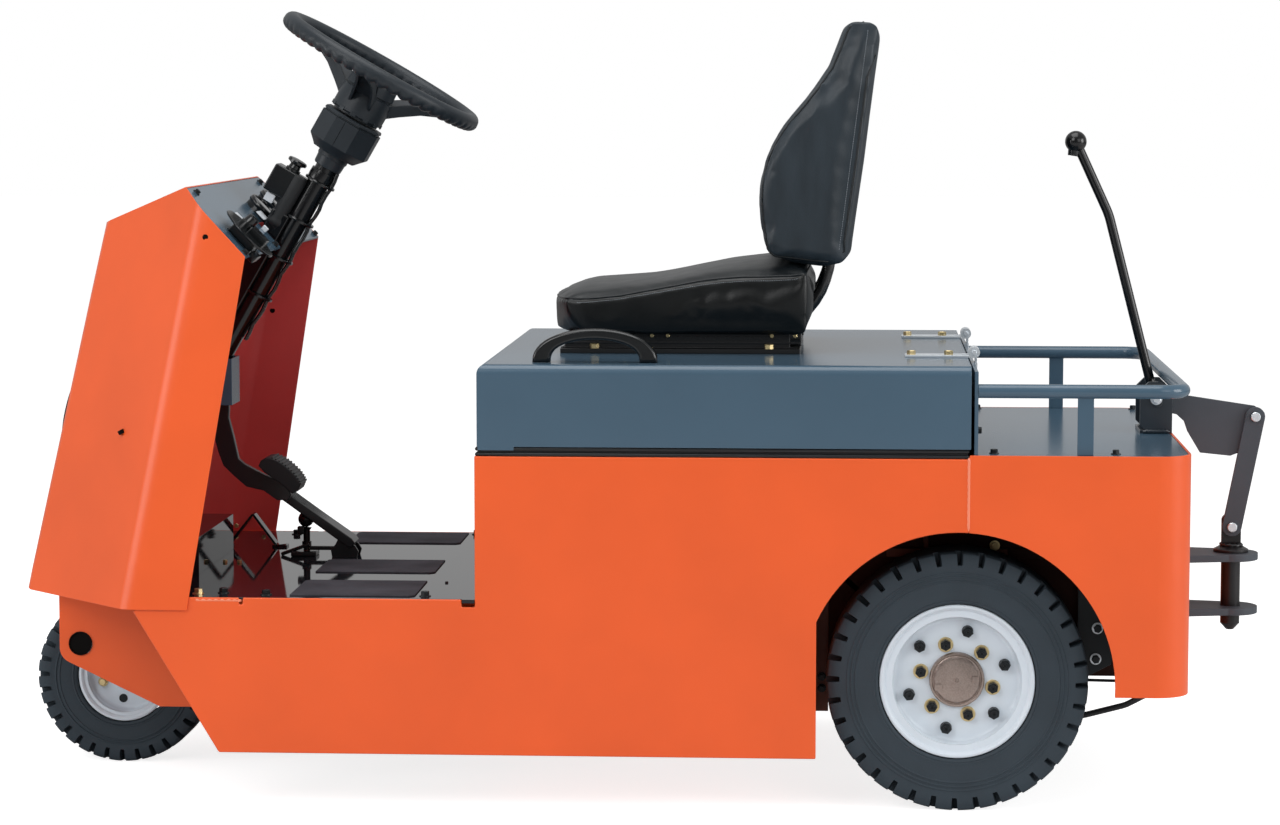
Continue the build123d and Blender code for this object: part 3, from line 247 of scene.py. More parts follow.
def as_object(name, bm, crease=None):
    """Object from a mesh, smooth but for creases steeper than an angle in degrees."""
    mesh = bpy.data.meshes.new(name)
    bm.to_mesh(mesh)
    bm.free()
    if crease:
        shaded(mesh, crease)
    return bpy.data.objects.new(name, mesh)


def evened(obj):
    """Weight the normals by face area, so that flat faces stay flat beside rounded edges."""
    obj.modifiers.new("even_normals", "WEIGHTED_NORMAL").keep_sharp = True


def rounded(bm, edges, radius, segments=2, clamp=False):
    """Round edges of a mesh."""
    bmesh.ops.bevel(
        bm,
        geom=edges,
        offset=radius,
        segments=segments,
        profile=0.5,
        affect="EDGES",
        clamp_overlap=clamp,
        material=-1,
    )


def dressed(node, name, finishes, edge=0.8, crease=42, paint=None, fold=0.0):
    """Merged copy of a CAD node with sharp edges rounded by so many mm, and upright folds by more."""
    bm = bmesh.new()
    bm.from_mesh(nodes[node].data)
    bmesh.ops.remove_doubles(bm, verts=bm.verts, dist=2e-5)
    bmesh.ops.dissolve_limit(bm, angle_limit=radians(0.6), verts=bm.verts, edges=bm.edges)
    if fold:
        upright = [
            e
            for e in bm.edges
            if e.is_manifold
            and radians(12) < abs(e.calc_face_angle_signed()) < radians(80)
            and abs(e.verts[0].co.z - e.verts[1].co.z) >= 0.5
            and abs(e.verts[0].co.y) > 0.1
        ]
        rounded(bm, upright, fold * mm, 5, clamp=True)
    sharp = [e for e in bm.edges if e.is_manifold and radians(crease) < abs(e.calc_face_angle_signed()) < pi]
    rounded(bm, sharp, edge * mm, clamp=True)
    if paint:
        for face in bm.faces:
            face.material_index = paint(face)
    obj = as_object(name, bm, 50)
    placed(obj, finishes, nodes[node]["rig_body"], (node,))
    evened(obj)


# Orange enamel over primer: warm and even, satin, pale where a fold turns to the light
orange = enamel("orange_enamel", "#EE5F28", 0.36, 0.1, level=0.38)
# Painted shade: the cowl's inner side is the same orange, drawn deep red for the shade that falls inside the cowl
cowl_shade_red = enamel("cowl_inside_painted_shade", "#EE5553", 0.5, 0.05)
# Painted shade: the rear frame plates and the faces that look into the body and the arches are orange steel, drawn
# dark brown for the shade that falls there
brown_shade_paint = enamel("brown_painted_shade", "#38190F", 0.6, 0.0, level=0.2)
# Painted shade, lighter: orange steel behind the arches drawn mid brown for the shade there
brown_half_shade_paint = enamel("brown_orange_painted_shade", "#6B3A28", 0.5, 0.05, level=0.3)


def inward_shaded(face):
    """Faces that look into the vehicle take the second finish, the brown of painted shade."""
    middle = face.calc_center_median()
    tail_inside = face.normal.x > 0.5 and middle.x < rear_axle_x - 0.3
    return int(face.normal.y * middle.y < -0.5 * abs(middle.y) or tail_inside)


# The rear frame plates, and every inward face of the shell, take the brown painted shade
for node, name, edge in (
    ("side_plate_left", "left_side_sheet", 2.2),
    ("side_plate_right", "right_side_sheet", 2.2),
    ("rear_body", "tail_sheet", 0.9),
    ("front_frame", "front_frame_plates", 1.2),
    ("rear_frame", "rear_frame_plates", 0.8),
    ("battery_tray", "battery_tray_box", 0.8),
):
    dressed(node, name, [brown_shade_paint if node == "rear_frame" else orange, brown_shade_paint], edge=edge, paint=inward_shaded)

cowl_low, cowl_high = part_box("cowl")
cowl_middle_x = (cowl_low.x + cowl_high.x) / 2


def cowl_inside_shaded(face):
    """Faces of the cowl that look inwards take the second finish, the red of painted shade."""
    middle = face.calc_center_median()
    inward = Vector((cowl_middle_x - middle.x - 0.12, -middle.y, 0.3 - middle.z * 0.4))
    return 1 if face.normal.dot(inward.normalized()) > 0.35 else 0


dressed("cowl", "folded_cowl", [orange, cowl_shade_red], paint=cowl_inside_shaded, fold=13)


# Rear and front wheels: tyres of moulded rubber with a block tread, on pressed and painted
# steel rims; the rear ones are bolted to the hub with nuts round an iron dust cap.
def at(x, y, z):
    """Placement at a point, unturned."""
    return Matrix.Translation((x, y, z))


def facing(centre, along):
    """Placement whose z axis points along a direction."""
    return Matrix.Translation(centre) @ Vector(along).to_track_quat("Z", "Y").to_matrix().to_4x4()


def turned(bm, profile, centre, along, steps=64):
    """Closed body of revolution from (along, radius) points, in mm."""
    along = Vector(along).normalized()
    out = along.orthogonal().normalized()
    centre = Vector(centre)
    verts = [bm.verts.new(centre + along * a + out * r) for a, r in profile]
    edges = [bm.edges.new(pair) for pair in zip(verts, verts[1:])]
    bmesh.ops.spin(bm, geom=verts + edges, cent=centre, axis=along, angle=2 * pi, steps=steps, use_merge=True)
    bmesh.ops.remove_doubles(bm, verts=bm.verts, dist=0.002)


def prism(bm, centre, along, across, height, sides=6, chamfer=1.0, turn=0.0):
    """Bolt head or nut standing on centre: a prism across flats with a chamfered top."""
    radius = across / 2 / cos(pi / sides)
    place = facing(Vector(centre), along) @ Matrix.Rotation(turn, 4, "Z") @ at(0, 0, height / 2)
    made = bmesh.ops.create_cone(
        bm, cap_ends=True, segments=sides, radius1=radius, radius2=radius, depth=height, matrix=place
    )
    top = max(
        {f for v in made["verts"] for f in v.link_faces if len(f.verts) == sides},
        key=lambda f: f.calc_center_median().dot(Vector(along)),
    )
    bmesh.ops.inset_individual(bm, faces=[top], thickness=chamfer, depth=chamfer * 0.7)


def in_metres(bm):
    """Turn a mesh in mm, x forward of the rear axle, into the frame's metres, its faces outwards."""
    bmesh.ops.recalc_face_normals(bm, faces=bm.faces)
    bmesh.ops.scale(bm, vec=(mm, mm, mm), verts=bm.verts)
    bmesh.ops.translate(bm, vec=(rear_axle_x, 0, 0), verts=bm.verts)


def block(bm, place, size, bevel=1.0, segments=2):
    """Rounded block of a size in mm, centred on a placement."""
    made = bmesh.ops.create_cube(bm, size=1, matrix=place @ Matrix.Diagonal((*size, 1)))["verts"]
    rounded(bm, list({e for v in made for e in v.link_edges}), bevel, segments)


def finished(name, bm, finish, body="chassis", stands_for=None, crease=36, even=True):
    """Turn a mesh in mm, x forward of the rear axle, into a finished piece."""
    in_metres(bm)
    obj = as_object(name, bm, crease)
    placed(obj, [finish], body, (stands_for,) if stands_for else ())
    if even:
        evened(obj)


def grained(name, colour, grain, depth, roughness, metallic=0.0, cloud=0.12, level=0.5):
    """Moulded or cast surface: a grain of so many mm, a depth in mm, and colour that drifts by a share."""
    material, tree, shader = blank_material(name)
    place = add_node(tree, "ShaderNodeTexCoord").outputs["Object"]
    speck = noise(tree, place, 1 / (grain * mm), 3)
    drift = noise(tree, place, 14, 4)
    mixed = combined(tree, "MULTIPLY_ADD", drift, 0.65, combined(tree, "MULTIPLY", speck, 0.35))
    inputs = {
        "Base Color": drifting(tree, mixed, colour, (0.35, 1 - cloud), (0.65, 1 + cloud)),
        "Normal": bumped(tree, speck, 0.6, depth * mm),
        "Roughness": roughened(tree, drift, roughness, 0.08),
        "Metallic": metallic,
        "Specular IOR Level": 0.5 if metallic else level,
    }
    wire(tree, shader, inputs)
    return material


# Moulded carbon-black rubber: dull blue-grey with a bloom, finely matted by the mould
tyre_rubber = grained("moulded_tyre_rubber", "#343E46", 1.6, 0.06, 0.72, cloud=0.1, level=0.35)
# Sprayed silver-grey enamel on the pressed rims: light, slightly cool, satin
rim_enamel = enamel("silver_rim_enamel", "#DDE7F0", 0.36, 0.15, cloud=0.03)
# Bare grey iron of the dust cap, browned by heat and grease
cap_iron = grained("browned_cast_iron", "#A3948C", 2.4, 0.06, 0.34, metallic=0.75, cloud=0.3)
# Black oxide on nuts and studs: dark, a little oily
black_oxide = grained("black_oxide_steel", "#1D2124", 1.0, 0.02, 0.4, metallic=0.4, cloud=0.15)
# Yellow chromate over zinc on washers and some bolts: pale gold
gold_zinc = grained("yellow_zinc_plate", "#DCC795", 0.8, 0.01, 0.34, metallic=0.9, cloud=0.12)

tyre_walls = {
    # offset from the wheel's middle, radius: from the bead over the wall's rings to the tread
    "rear": (
        (41, 124.8), (48.6, 124.8), (50.6, 126.4), (51.6, 129), (51.2, 130.4), (52.4, 131.4), (52.6, 133.4),
        (52.0, 134.6), (52.6, 142), (52.8, 157), (53.2, 160), (54.2, 160.8), (54.2, 162.4), (53.4, 163.2),
        (53.4, 166.4), (54.6, 167.2), (54.6, 169), (53.8, 169.8), (53.8, 172.6), (54.9, 173.4), (54.9, 175.2),
        (54.2, 176), (54.4, 184), (54.6, 186), (54.8, 192), (54.0, 199), (51.5, 204.4), (47, 207), (41, 207.4),
        (34.2, 207.4), (33, 207.4), (0, 207.4),
    ),
    "front": (
        (31, 79.8), (37.6, 79.8), (39.6, 81.2), (40.6, 84), (40.0, 85.2), (41.4, 86.2), (41.6, 88), (41.0, 89),
        (42.4, 96), (43.2, 107), (43.6, 108.6), (44.6, 109.4), (44.6, 110.8), (43.8, 111.6), (43.8, 114.4),
        (45.2, 115.2), (45.2, 116.8), (44.4, 117.6), (45.0, 124), (45.6, 126), (45.9, 132), (45.0, 139.6),
        (42.8, 144.4), (39, 146.8), (33, 147.3), (25.2, 147.3), (24, 147.3), (0, 147.3),
    ),
}


def tyre(name, centre, walls, lugs, body, node, notch_half=4.2):
    """Tyre with a plain tread rib and a slot between each two lugs of the shoulder."""
    outer = walls[-1][1]
    rib = walls[-2][0]
    root = outer - 21.5
    bm = bmesh.new()
    profile = list(walls) + [(-a, r) for a, r in reversed(walls[:-1])]
    profile.append(profile[0])
    stations = 8
    turned(bm, profile, centre, (0, 1, 0), lugs * stations)
    pitch = 2 * pi / lugs
    half = notch_half / outer
    draft = 0.9 / outer
    spread = (pitch - 2 * (half + draft)) / 4
    offsets = [-half - draft, -half, 0, half] + [half + draft + spread * k for k in range(4)]
    for vert in bm.verts:
        across = vert.co.y - centre[1]
        run, rise = vert.co.x - centre[0], vert.co.z - centre[2]
        radius = hypot(run, rise)
        station = round(atan2(rise, run) / (pitch / stations))
        lug, k = divmod(station, stations)
        angle = lug * pitch + offsets[k]
        skew = max(abs(across) - rib, 0) * 0.16 / outer
        angle += skew if across > 0 else -skew
        if k in (1, 2, 3) and abs(across) > rib + 0.5 and radius > root:
            radius = root + (radius - root) * 0.04
        vert.co.x = centre[0] + radius * cos(angle)
        vert.co.z = centre[2] + radius * sin(angle)
    finished(name, bm, tyre_rubber, body, stands_for=node, crease=34)


rear_wheel_z = 207.5
front_wheel_x, front_wheel_z = 1405, 147.5
rear_rim_out = (
    # offset outwards, radius: rolled lip, well of the dish, flat disc
    (-49, 118), (-49.4, 121), (-47.4, 123), (-43.4, 123), (-43.4, 103), (43.4, 103), (43.4, 123), (47.2, 123.1),
    (49, 121.6), (49.2, 118.6), (47.4, 115.6), (43.6, 113.6), (39.5, 110.4), (37.5, 106.2), (35.2, 103),
    (31.6, 100.8), (28, 100.2), (26.4, 99.2), (24.8, 97), (24, 93.6), (24, 46.4), (24.6, 45.2), (24.6, 0),
)
rear_rim_in = ((17, 0), (17, 96), (14, 99), (-42, 99), (-49, 118))
dust_cap = (
    (24.7, 0), (24.7, 44), (30, 44), (32.4, 42.6), (32.6, 40.2), (31.2, 38.6), (31.6, 37.4), (34.2, 35), (35, 31),
    (35, 3.4), (33, 2.8), (33, 0),
)
for name, side in (("left", 1), ("right", -1)):
    centre = Vector((0, side * 315, rear_wheel_z))
    body = "rear_wheel_" + name
    tyre(name + "_rear_tyre", centre, tyre_walls["rear"], 36, body, "rear_tyre_" + name)
    out = Vector((0, side, 0))
    bm = bmesh.new()
    turned(bm, rear_rim_out + rear_rim_in, centre, out, 96)
    finished(name + "_rear_rim", bm, rim_enamel, body, stands_for="rear_rim_" + name, crease=32)
    # Hub behind the disc, and the dust cap with its two pulling lugs
    bm = bmesh.new()
    turned(bm, ((17.5, 0), (17.5, 55), (-20, 55), (-24, 51), (-24, 31), (17.4, 31), (17.5, 0)), centre, out, 48)
    turned(bm, dust_cap, centre, out, 64)
    for along in (-29.5, 29.5):
        block(bm, Matrix.Translation(centre + out * 35 + Vector((along, 0, -5 - along * 0.22))), (12, 5, 11), 1.4)
    finished(name + "_hub_and_cap", bm, cap_iron, body)
    # Six wheel nuts on studs with gold washers, and six bolts that hold the rim's halves
    nuts = bmesh.new()
    washers = bmesh.new()
    stud = ((0, 0), (0, 5.2), (5.4, 5.2), (6.4, 4.2), (6.4, 2.4), (4, 2), (4, 0))
    for first, count_r, across, height, washer in ((48, 58.5, 15.5, 9, 12.2), (18, 79.5, 16.5, 9, 9.2)):
        for k in range(6):
            turn = radians(first + 60 * k)
            # The photographed side runs clockwise when seen along +Y
            spot = centre + Vector((-cos(turn), 0, sin(turn))) * count_r + out * 24
            ring = washers if washer > 10 else nuts
            turned(ring, ((0, 0), (0, washer), (1.4, washer), (2.0, washer - 0.7), (2.0, 0)), spot, out, 24)
            prism(nuts, spot + out * 2, out, across, height, chamfer=1.6, turn=turn * 1.7)
            turned(nuts, stud, spot + out * (1.2 + height), out, 16)
    finished(name + "_wheel_nuts", nuts, black_oxide, body, crease=32)
    finished(name + "_wheel_nut_washers", washers, gold_zinc, body, crease=32)

centre = Vector((front_wheel_x, 0, front_wheel_z))
tyre("front_tyre_tread", centre, tyre_walls["front"], 32, "front_wheel", "front_tyre", notch_half=3.8)
bm = bmesh.new()
front_rim = (
    (-38, 74), (-38.2, 76.4), (-36.6, 78), (-32.6, 78), (-32.6, 64.4), (32.6, 64.4), (32.6, 78), (36.4, 78.1),
    (38, 76.8), (38.1, 73.6), (36.4, 71), (33.4, 69.6), (28, 67), (19, 63.6), (13, 62.6), (10.4, 61.6), (8.6, 59.6),
    (8, 57), (8, 28.6), (9, 27.2), (20, 26), (22, 24), (22, 0), (1.6, 0), (1.6, 56), (-1, 60), (-31, 60.4), (-38, 74),
)
turned(bm, front_rim, centre, (0, 1, 0), 80)
finished("front_rim_disc", bm, rim_enamel, "front_wheel", stands_for="front_rim", crease=32)
nuts = bmesh.new()
washers = bmesh.new()
for k in range(6):
    turn = radians(20 + 60 * k)
    spot = centre + Vector((-cos(turn), 0, sin(turn))) * 44.6
    for side in (1, -1):
        out = Vector((0, side, 0))
        base = spot + out * (8 if side > 0 else -1.6)
        if k % 2:
            turned(washers, ((0, 0), (0, 8.6), (1.2, 8.6), (1.6, 8), (1.6, 0)), base, out, 20)
            prism(washers, base + out * 1.6, out, 12, 7, chamfer=1.2, turn=turn)
        else:
            turned(nuts, ((0, 0), (0, 7.4), (0.9, 7.2), (1.2, 6), (0.4, 5.4), (0.4, 0)), base, out, 24)
finished("front_rim_nuts", washers, gold_zinc, "front_wheel", crease=32)
finished("front_rim_hole_plugs", nuts, black_oxide, "front_wheel", crease=32)

# Steering wheel: hard black ABS moulded over a steel ring, with finger grips round its
# underside, three channel spokes and a deep hub; the column's housing and switch stand below.
wheel_centre = Vector((961, 0, 1174))
column_up = Vector((-sin(radians(30)), 0, cos(radians(30))))
column_side = Vector((cos(radians(30)), 0, sin(radians(30))))
column_across = Vector((0, 1, 0))
# Moulded ABS: black with a cool bloom, satin, a fine grain from the mould
abs_black = grained("moulded_black_abs", "#20272D", 0.9, 0.03, 0.42, cloud=0.1, level=0.4)
grip_r, ring_r = 13.4, 171.5
grips = 52
bm = bmesh.new()
section = [(grip_r * sin(2 * pi * k / 20), ring_r + grip_r * cos(2 * pi * k / 20)) for k in range(21)]
turned(bm, section, wheel_centre, column_up, grips * 8)
for vert in bm.verts:
    arm = vert.co - wheel_centre
    below = -arm.dot(column_up)
    out = arm + column_up * below
    turn = atan2(out.dot(column_across), out.dot(column_side))
    low = max(below / grip_r, 0) ** 0.7
    wave = 1 - abs(sin(turn * grips / 2)) ** 0.8
    away = (out.normalized() * (out.length - ring_r) - column_up * below) / grip_r
    vert.co += away * (wave * 4.4 - 2.4) * -low
finished("wheel_grip", bm, abs_black, "steering_wheel_body", stands_for="steering_wheel", crease=60)


def skinned(bm, rings, closed=False):
    """Join rings of points into one skin, closed on itself or capped at both ends."""
    rings = [[bm.verts.new(point) for point in ring] for ring in rings]
    sides = len(rings[0])
    for first, second in zip(rings, rings[1:] + rings[:1] if closed else rings[1:]):
        for k in range(sides):
            bm.faces.new((first[k], first[(k + 1) % sides], second[(k + 1) % sides], second[k]))
    if not closed:
        bm.faces.new(rings[0])
        bm.faces.new(rings[-1])


def column_frame(up=0.0, side=0.0, across=0.0, turn=0.0):
    """Placement on the steering column: z up the column, x to its front, at so many mm from the wheel's centre."""
    basis = Matrix((column_side, column_across, column_up)).transposed().to_4x4()
    shift = Matrix.Translation(wheel_centre + column_up * up + column_side * side + column_across * across)
    return shift @ basis @ Matrix.Rotation(turn, 4, "Z")


bm = bmesh.new()
hub = (
    (-6, 0), (-6, 26), (-8, 33), (-13, 38), (-20, 40), (-24, 42), (-40, 43.4), (-41.5, 41), (-43.5, 41),
    (-45, 44.4), (-62, 46), (-84, 46), (-86, 44), (-86.5, 41), (-90, 40.5), (-90, 0),
)
turned(bm, hub, wheel_centre, column_up, 64)
for k in range(12):
    place = column_frame(-84, turn=2 * pi * k / 12)
    block(bm, place @ at(45.6, 0, 0), (2.4, 10, 7), 0.8)
finished("wheel_hub", bm, abs_black, "steering_wheel_body")
bm = bmesh.new()
for turn in (90, 210, 330):
    place = column_frame(turn=radians(turn))
    # Channel spoke: a web with two flanges, rising from low on the hub to the ring
    for across, half in ((0, 20), (-19, 2.2), (19, 2.2)):
        low, high, taper = (-72, -48, 0.06) if across else (-53, -48, 0)
        rows = []
        for out, rise in ((34, 0), (60, 15), (95, 33), (125, 42), (166, 47)):
            y = across * (1 - (out - 34) / 330)
            foot = low + rise + (out - 34) * taper
            top = high + rise
            corners = ((y - half, foot), (y + half, foot), (y + half, top), (y - half, top))
            rows.append([place @ Vector((out, *corner)) for corner in corners])
        skinned(bm, rows)
finished("wheel_spokes", bm, abs_black, "steering_wheel_body")

# Column housing in two moulded halves with vent slits, and the rubber boot under it
bm = bmesh.new()


def octagon(bm, steps):
    """Eight-sided body round the column from (up, half width across flats) steps."""
    rings = []
    for up, half in steps:
        corner = Vector((half / cos(pi / 8), 0, 0))
        rings.append([column_frame(up, turn=pi / 8 + k * pi / 4) @ corner for k in range(8)])
    skinned(bm, rings)


halves = (
    (-92.5, 44), (-93, 49), (-95.5, 50.5), (-98, 50.5), (-98.6, 48.6), (-100.4, 48.6), (-101, 51.8), (-146, 51.8),
    (-148, 50.6), (-158, 41), (-162.8, 37), (-162.8, 20),
)
octagon(bm, halves)
upright = []
for edge in bm.edges:
    along = (edge.verts[0].co - edge.verts[1].co).normalized()
    if edge.is_manifold and edge.calc_face_angle(0) > radians(30) and abs(along.dot(column_up)) > 0.7:
        upright.append(edge)
rounded(bm, upright, 5, 3)
boot = ((-162, 0), (-162, 27), (-170, 27), (-172, 25.5), (-186, 24.5), (-188, 23), (-188, 19.4))
turned(bm, boot, wheel_centre, column_up, 40)
finished("switch_housing", bm, abs_black, stands_for="column_housing", crease=34)
# Shadowed slits: thin dark ribs standing in the vents
slit_black = grained("slit_shadow_abs", "#07080A", 1.2, 0.02, 0.7, level=0.1)
bm = bmesh.new()
for turn in (112, 22, -68, -158):
    for k in range(5):
        place = column_frame(-112 - k * 5.2, turn=radians(turn)) @ at(51.7, 0, 0)
        block(bm, place, (0.8, 19, 1.5), 0.3, 1)
place = column_frame(-124, turn=radians(90)) @ at(51.7, -4, 0)
block(bm, place, (0.7, 0.9, 44), 0.2, 1)
finished("housing_slits", bm, slit_black)

# Direction switch: gloss black box on the column's front, with its mushroom knob
# The same ABS from a polished mould: black with sharp lights
abs_gloss = grained("gloss_black_abs", "#0D1012", 0.9, 0.01, 0.2, cloud=0.08, level=0.6)
bm = bmesh.new()
block(bm, column_frame(-246, side=47.5), (56, 44, 48), 3, 3)
block(bm, column_frame(-268, side=40), (30, 30, 20), 2, 2)
mushroom = (
    (-223, 0), (-223, 13), (-218, 13), (-217, 10.5), (-211, 9.5), (-209, 12.5), (-207.5, 16.5), (-204, 17.2),
    (-201.5, 15.4), (-200.6, 11), (-200.2, 0),
)
turned(bm, mushroom, wheel_centre + column_side * 47.5, column_up, 36)
finished("direction_switch", bm, abs_gloss)

# Driver's seat: polyurethane foam in sewn black vinyl, piped round the top of the cushion
# and the face of the back, on steel slides; two bent tubes carry the back.
swell_frames = 20


def stuffed(obj, voxel, cap, floor_z=0.0, pressure=4.0):
    """Fill a closed shape like foam in a cover: remesh, swell by cloth pressure, hold within a cap in mm."""
    scene.collection.objects.link(obj)
    remesh = obj.modifiers.new("even_skin", "REMESH")
    remesh.mode = "VOXEL"
    remesh.voxel_size = voxel * mm
    graph = bpy.context.evaluated_depsgraph_get()
    skin = bpy.data.meshes.new_from_object(obj.evaluated_get(graph))
    obj.modifiers.clear()
    obj.data = skin
    start = [v.co.copy() for v in skin.vertices]
    cloth = obj.modifiers.new("foam", "CLOTH")
    cloth.settings.use_pressure = True
    cloth.settings.uniform_pressure_force = pressure
    cloth.settings.effector_weights.gravity = 0
    cloth.settings.quality = 6
    cloth.point_cache.frame_start = 1
    cloth.point_cache.frame_end = swell_frames
    for step in range(1, swell_frames + 1):
        scene.frame_set(step)
    swollen = bpy.data.meshes.new_from_object(obj.evaluated_get(bpy.context.evaluated_depsgraph_get()))
    obj.modifiers.clear()
    scene.frame_set(1)
    for vert, end, first in zip(skin.vertices, swollen.vertices, start):
        move = end.co - first
        if move.length > cap * mm:
            move *= cap * mm / move.length
        vert.co = first + move
    bpy.data.meshes.remove(swollen)
    bm = bmesh.new()
    bm.from_mesh(skin)
    for _ in range(2):
        bmesh.ops.smooth_vert(bm, verts=bm.verts, factor=0.5, use_axis_x=True, use_axis_y=True, use_axis_z=True)
    for vert in bm.verts:
        vert.co.z = max(vert.co.z, floor_z * mm)
    bm.to_mesh(skin)
    bm.free()
    for polygon in skin.polygons:
        polygon.use_smooth = True
    finer = obj.modifiers.new("finer", "SUBSURF")
    finer.levels = finer.render_levels = 1


def vinyl(name, colour, roughness):
    """Embossed vinyl: black with a cool sheen, a pebble of about 2 mm and long soft stretch marks."""
    material, tree, shader = blank_material(name)
    place = add_node(tree, "ShaderNodeTexCoord").outputs["Object"]
    pebble = add_node(
        tree, "ShaderNodeTexVoronoi", {"feature": "DISTANCE_TO_EDGE"}, {"Vector": place, "Scale": 420}
    )
    stretch = add_node(tree, "ShaderNodeMapping", inputs={"Vector": place, "Scale": (30, 30, 7)})
    crease = noise(tree, stretch.outputs["Vector"], 1, 4)
    fine = bumped(tree, pebble.outputs["Distance"], 0.35, 0.4 * mm)
    inputs = {
        "Base Color": drifting(tree, crease, colour, (0.3, 0.8), (0.75, 1.25)),
        "Normal": bumped(tree, crease, 0.25, 2 * mm, Normal=fine),
        "Roughness": roughened(tree, crease, roughness, 0.07),
        "Specular IOR Level": 0.38,
    }
    wire(tree, shader, inputs)
    return material


# Calendered with a pebble: black, with soft broad lights on the cushion's top
seat_vinyl = vinyl("embossed_black_vinyl", "#12171A", 0.36)
# The back's vinyl is drawn cooler and paler, a painted sheen of the room that it picks up
back_sheen_vinyl = vinyl("black_vinyl_painted_sheen", "#252E35", 0.42)
# Painted shade: the cushion's side panels, which face down and away from the light, are the same vinyl drawn near
# black
cushion_side_shade_vinyl = vinyl("black_vinyl_painted_shade", "#070A0B", 0.34)


def blank_piece(name, bm):
    """Object from a mesh in mm, before it is stuffed."""
    in_metres(bm)
    return as_object(name, bm)


def between(table, place):
    """Value at a place along a table of (place, value), straight between its rows."""
    if place <= table[0][0]:
        return table[0][1]
    for (a, va), (b, vb) in zip(table, table[1:]):
        if place <= b:
            t = (place - a) / (b - a)
            return va + (vb - va) * t
    return table[-1][1]


# Cushion: x from back to front, height of its side seam, height of its crown on the middle line
seam_line = (
    (236, 850), (243, 848), (263, 841), (304, 839), (341, 838.5), (378, 836), (415, 831.5), (452, 825), (489, 818.5),
    (519, 813.5), (552, 807.5), (600, 803), (640, 802),
)
crown_line = (
    (236, 866), (270, 867), (309, 864), (367, 858), (424, 846.5), (463, 838), (501, 831), (559, 826.5), (609, 822),
    (630, 814), (656, 803),
)
bm = bmesh.new()
bmesh.ops.create_cube(bm, size=2)
bmesh.ops.subdivide_edges(bm, edges=bm.edges[:], cuts=23, use_grid_fill=True)
for vert in bm.verts:
    u, v, w = vert.co
    bulge = 30 * (1 - abs(v) ** 3) * max(u, 0) ** 3
    x = 438 + u * 200
    side = between(seam_line, x)
    crown = between(crown_line, x + bulge)
    dish = 4 * (1 - v * v) * (1 - u * u)
    top = side + (crown - side) * (1 - abs(v) ** 2.6) - dish
    rise = (w + 1) / 2
    tuck = (1 - rise) ** 2
    vert.co = Vector(
        (
            x + bulge - 24 * tuck * max(u, 0) ** 6 * abs(v) ** 3 + 3 * tuck * max(-u, 0) ** 6,
            v * (213 - 6 * tuck - 8 * max(u, 0) ** 8),
            749 + (top - 749) * rise,
        )
    )
cushion = blank_piece("cushion_pad", bm)
stuffed(cushion, 5, 6, 745.5)
# Side faces below the seam take the near-black vinyl as painted shade
for polygon in cushion.data.polygons:
    x = (polygon.center.x - rear_axle_x) / mm
    polygon.material_index = int(abs(polygon.normal.y) > 0.55 and polygon.center.z / mm < between(seam_line, x) - 1)
placed(cushion, [seat_vinyl, cushion_side_shade_vinyl], "cover", ("seat_cushion",))

# Back: its outline from the side, front edge from the foot up over the lumbar bulge, then down the rear
back_outline = (
    (294, 868), (304, 872), (312, 884), (315, 906), (318, 928), (320, 948), (321, 966), (320, 988), (317, 1008),
    (309, 1034), (299, 1056), (288, 1074), (277, 1090), (252, 1119), (230, 1147), (207, 1180), (195, 1210),
    (185, 1236), (177, 1254), (168, 1257), (140, 1255), (130, 1248), (130, 1234), (140, 1160), (148, 1096),
    (156, 1030), (166, 960), (175, 896), (178, 864), (187, 857), (232, 861), (272, 866),
)
rings = []
for k in range(26):
    across = k / 12.5 - 1
    rings.append([])
    for x, z in back_outline:
        # It is drawn in at its top and foot, and hollowed on both faces between the sides
        narrow = 1 - 0.06 * max((z - 1090) / 160, 0) ** 2 - 0.02 * max((930 - z) / 60, 0)
        depth = x - (181 - (z - 870) * 0.126)
        rings[-1].append(Vector((x - depth * 0.1 * (1 - across * across), across * narrow * 193, z)))
bm = bmesh.new()
skinned(bm, rings)
back = blank_piece("back_pad", bm)
stuffed(back, 5, 5, pressure=3.0)
placed(back, [back_sheen_vinyl], "cover", ("seat_back",))


def pipe(bm, path, radius, closed=False, sides=8, ends=1.0):
    """Round bar through points: rings joined along the path, closed at its ends."""
    rings = []
    count = len(path)
    for k, point in enumerate(path):
        before = path[k - 1] if k or closed else point
        after = path[(k + 1) % count] if k < count - 1 or closed else point
        ahead = (after - before).normalized()
        side = ahead.cross(Vector((0, 0, 1)))
        if side.length < 0.05:
            side = ahead.cross(Vector((0, 1, 0)))
        side.normalize()
        up = side.cross(ahead).normalized()
        size = radius * (ends if k in (0, count - 1) and not closed else 1)
        turns = [2 * pi * s / sides for s in range(sides)]
        rings.append([point + side * cos(turn) * size + up * sin(turn) * size for turn in turns])
    skinned(bm, rings, closed)


def on_skin(obj, point, towards, proud=0.0):
    """Where a ray in mm from a point meets a stuffed piece's skin, standing proud by so many mm."""
    axle = Vector((rear_axle_x, 0, 0))
    hit, near, normal, _ = obj.ray_cast(Vector(point) * mm + axle, Vector(towards).normalized())
    return (near + normal * proud * mm - axle) / mm if hit else None


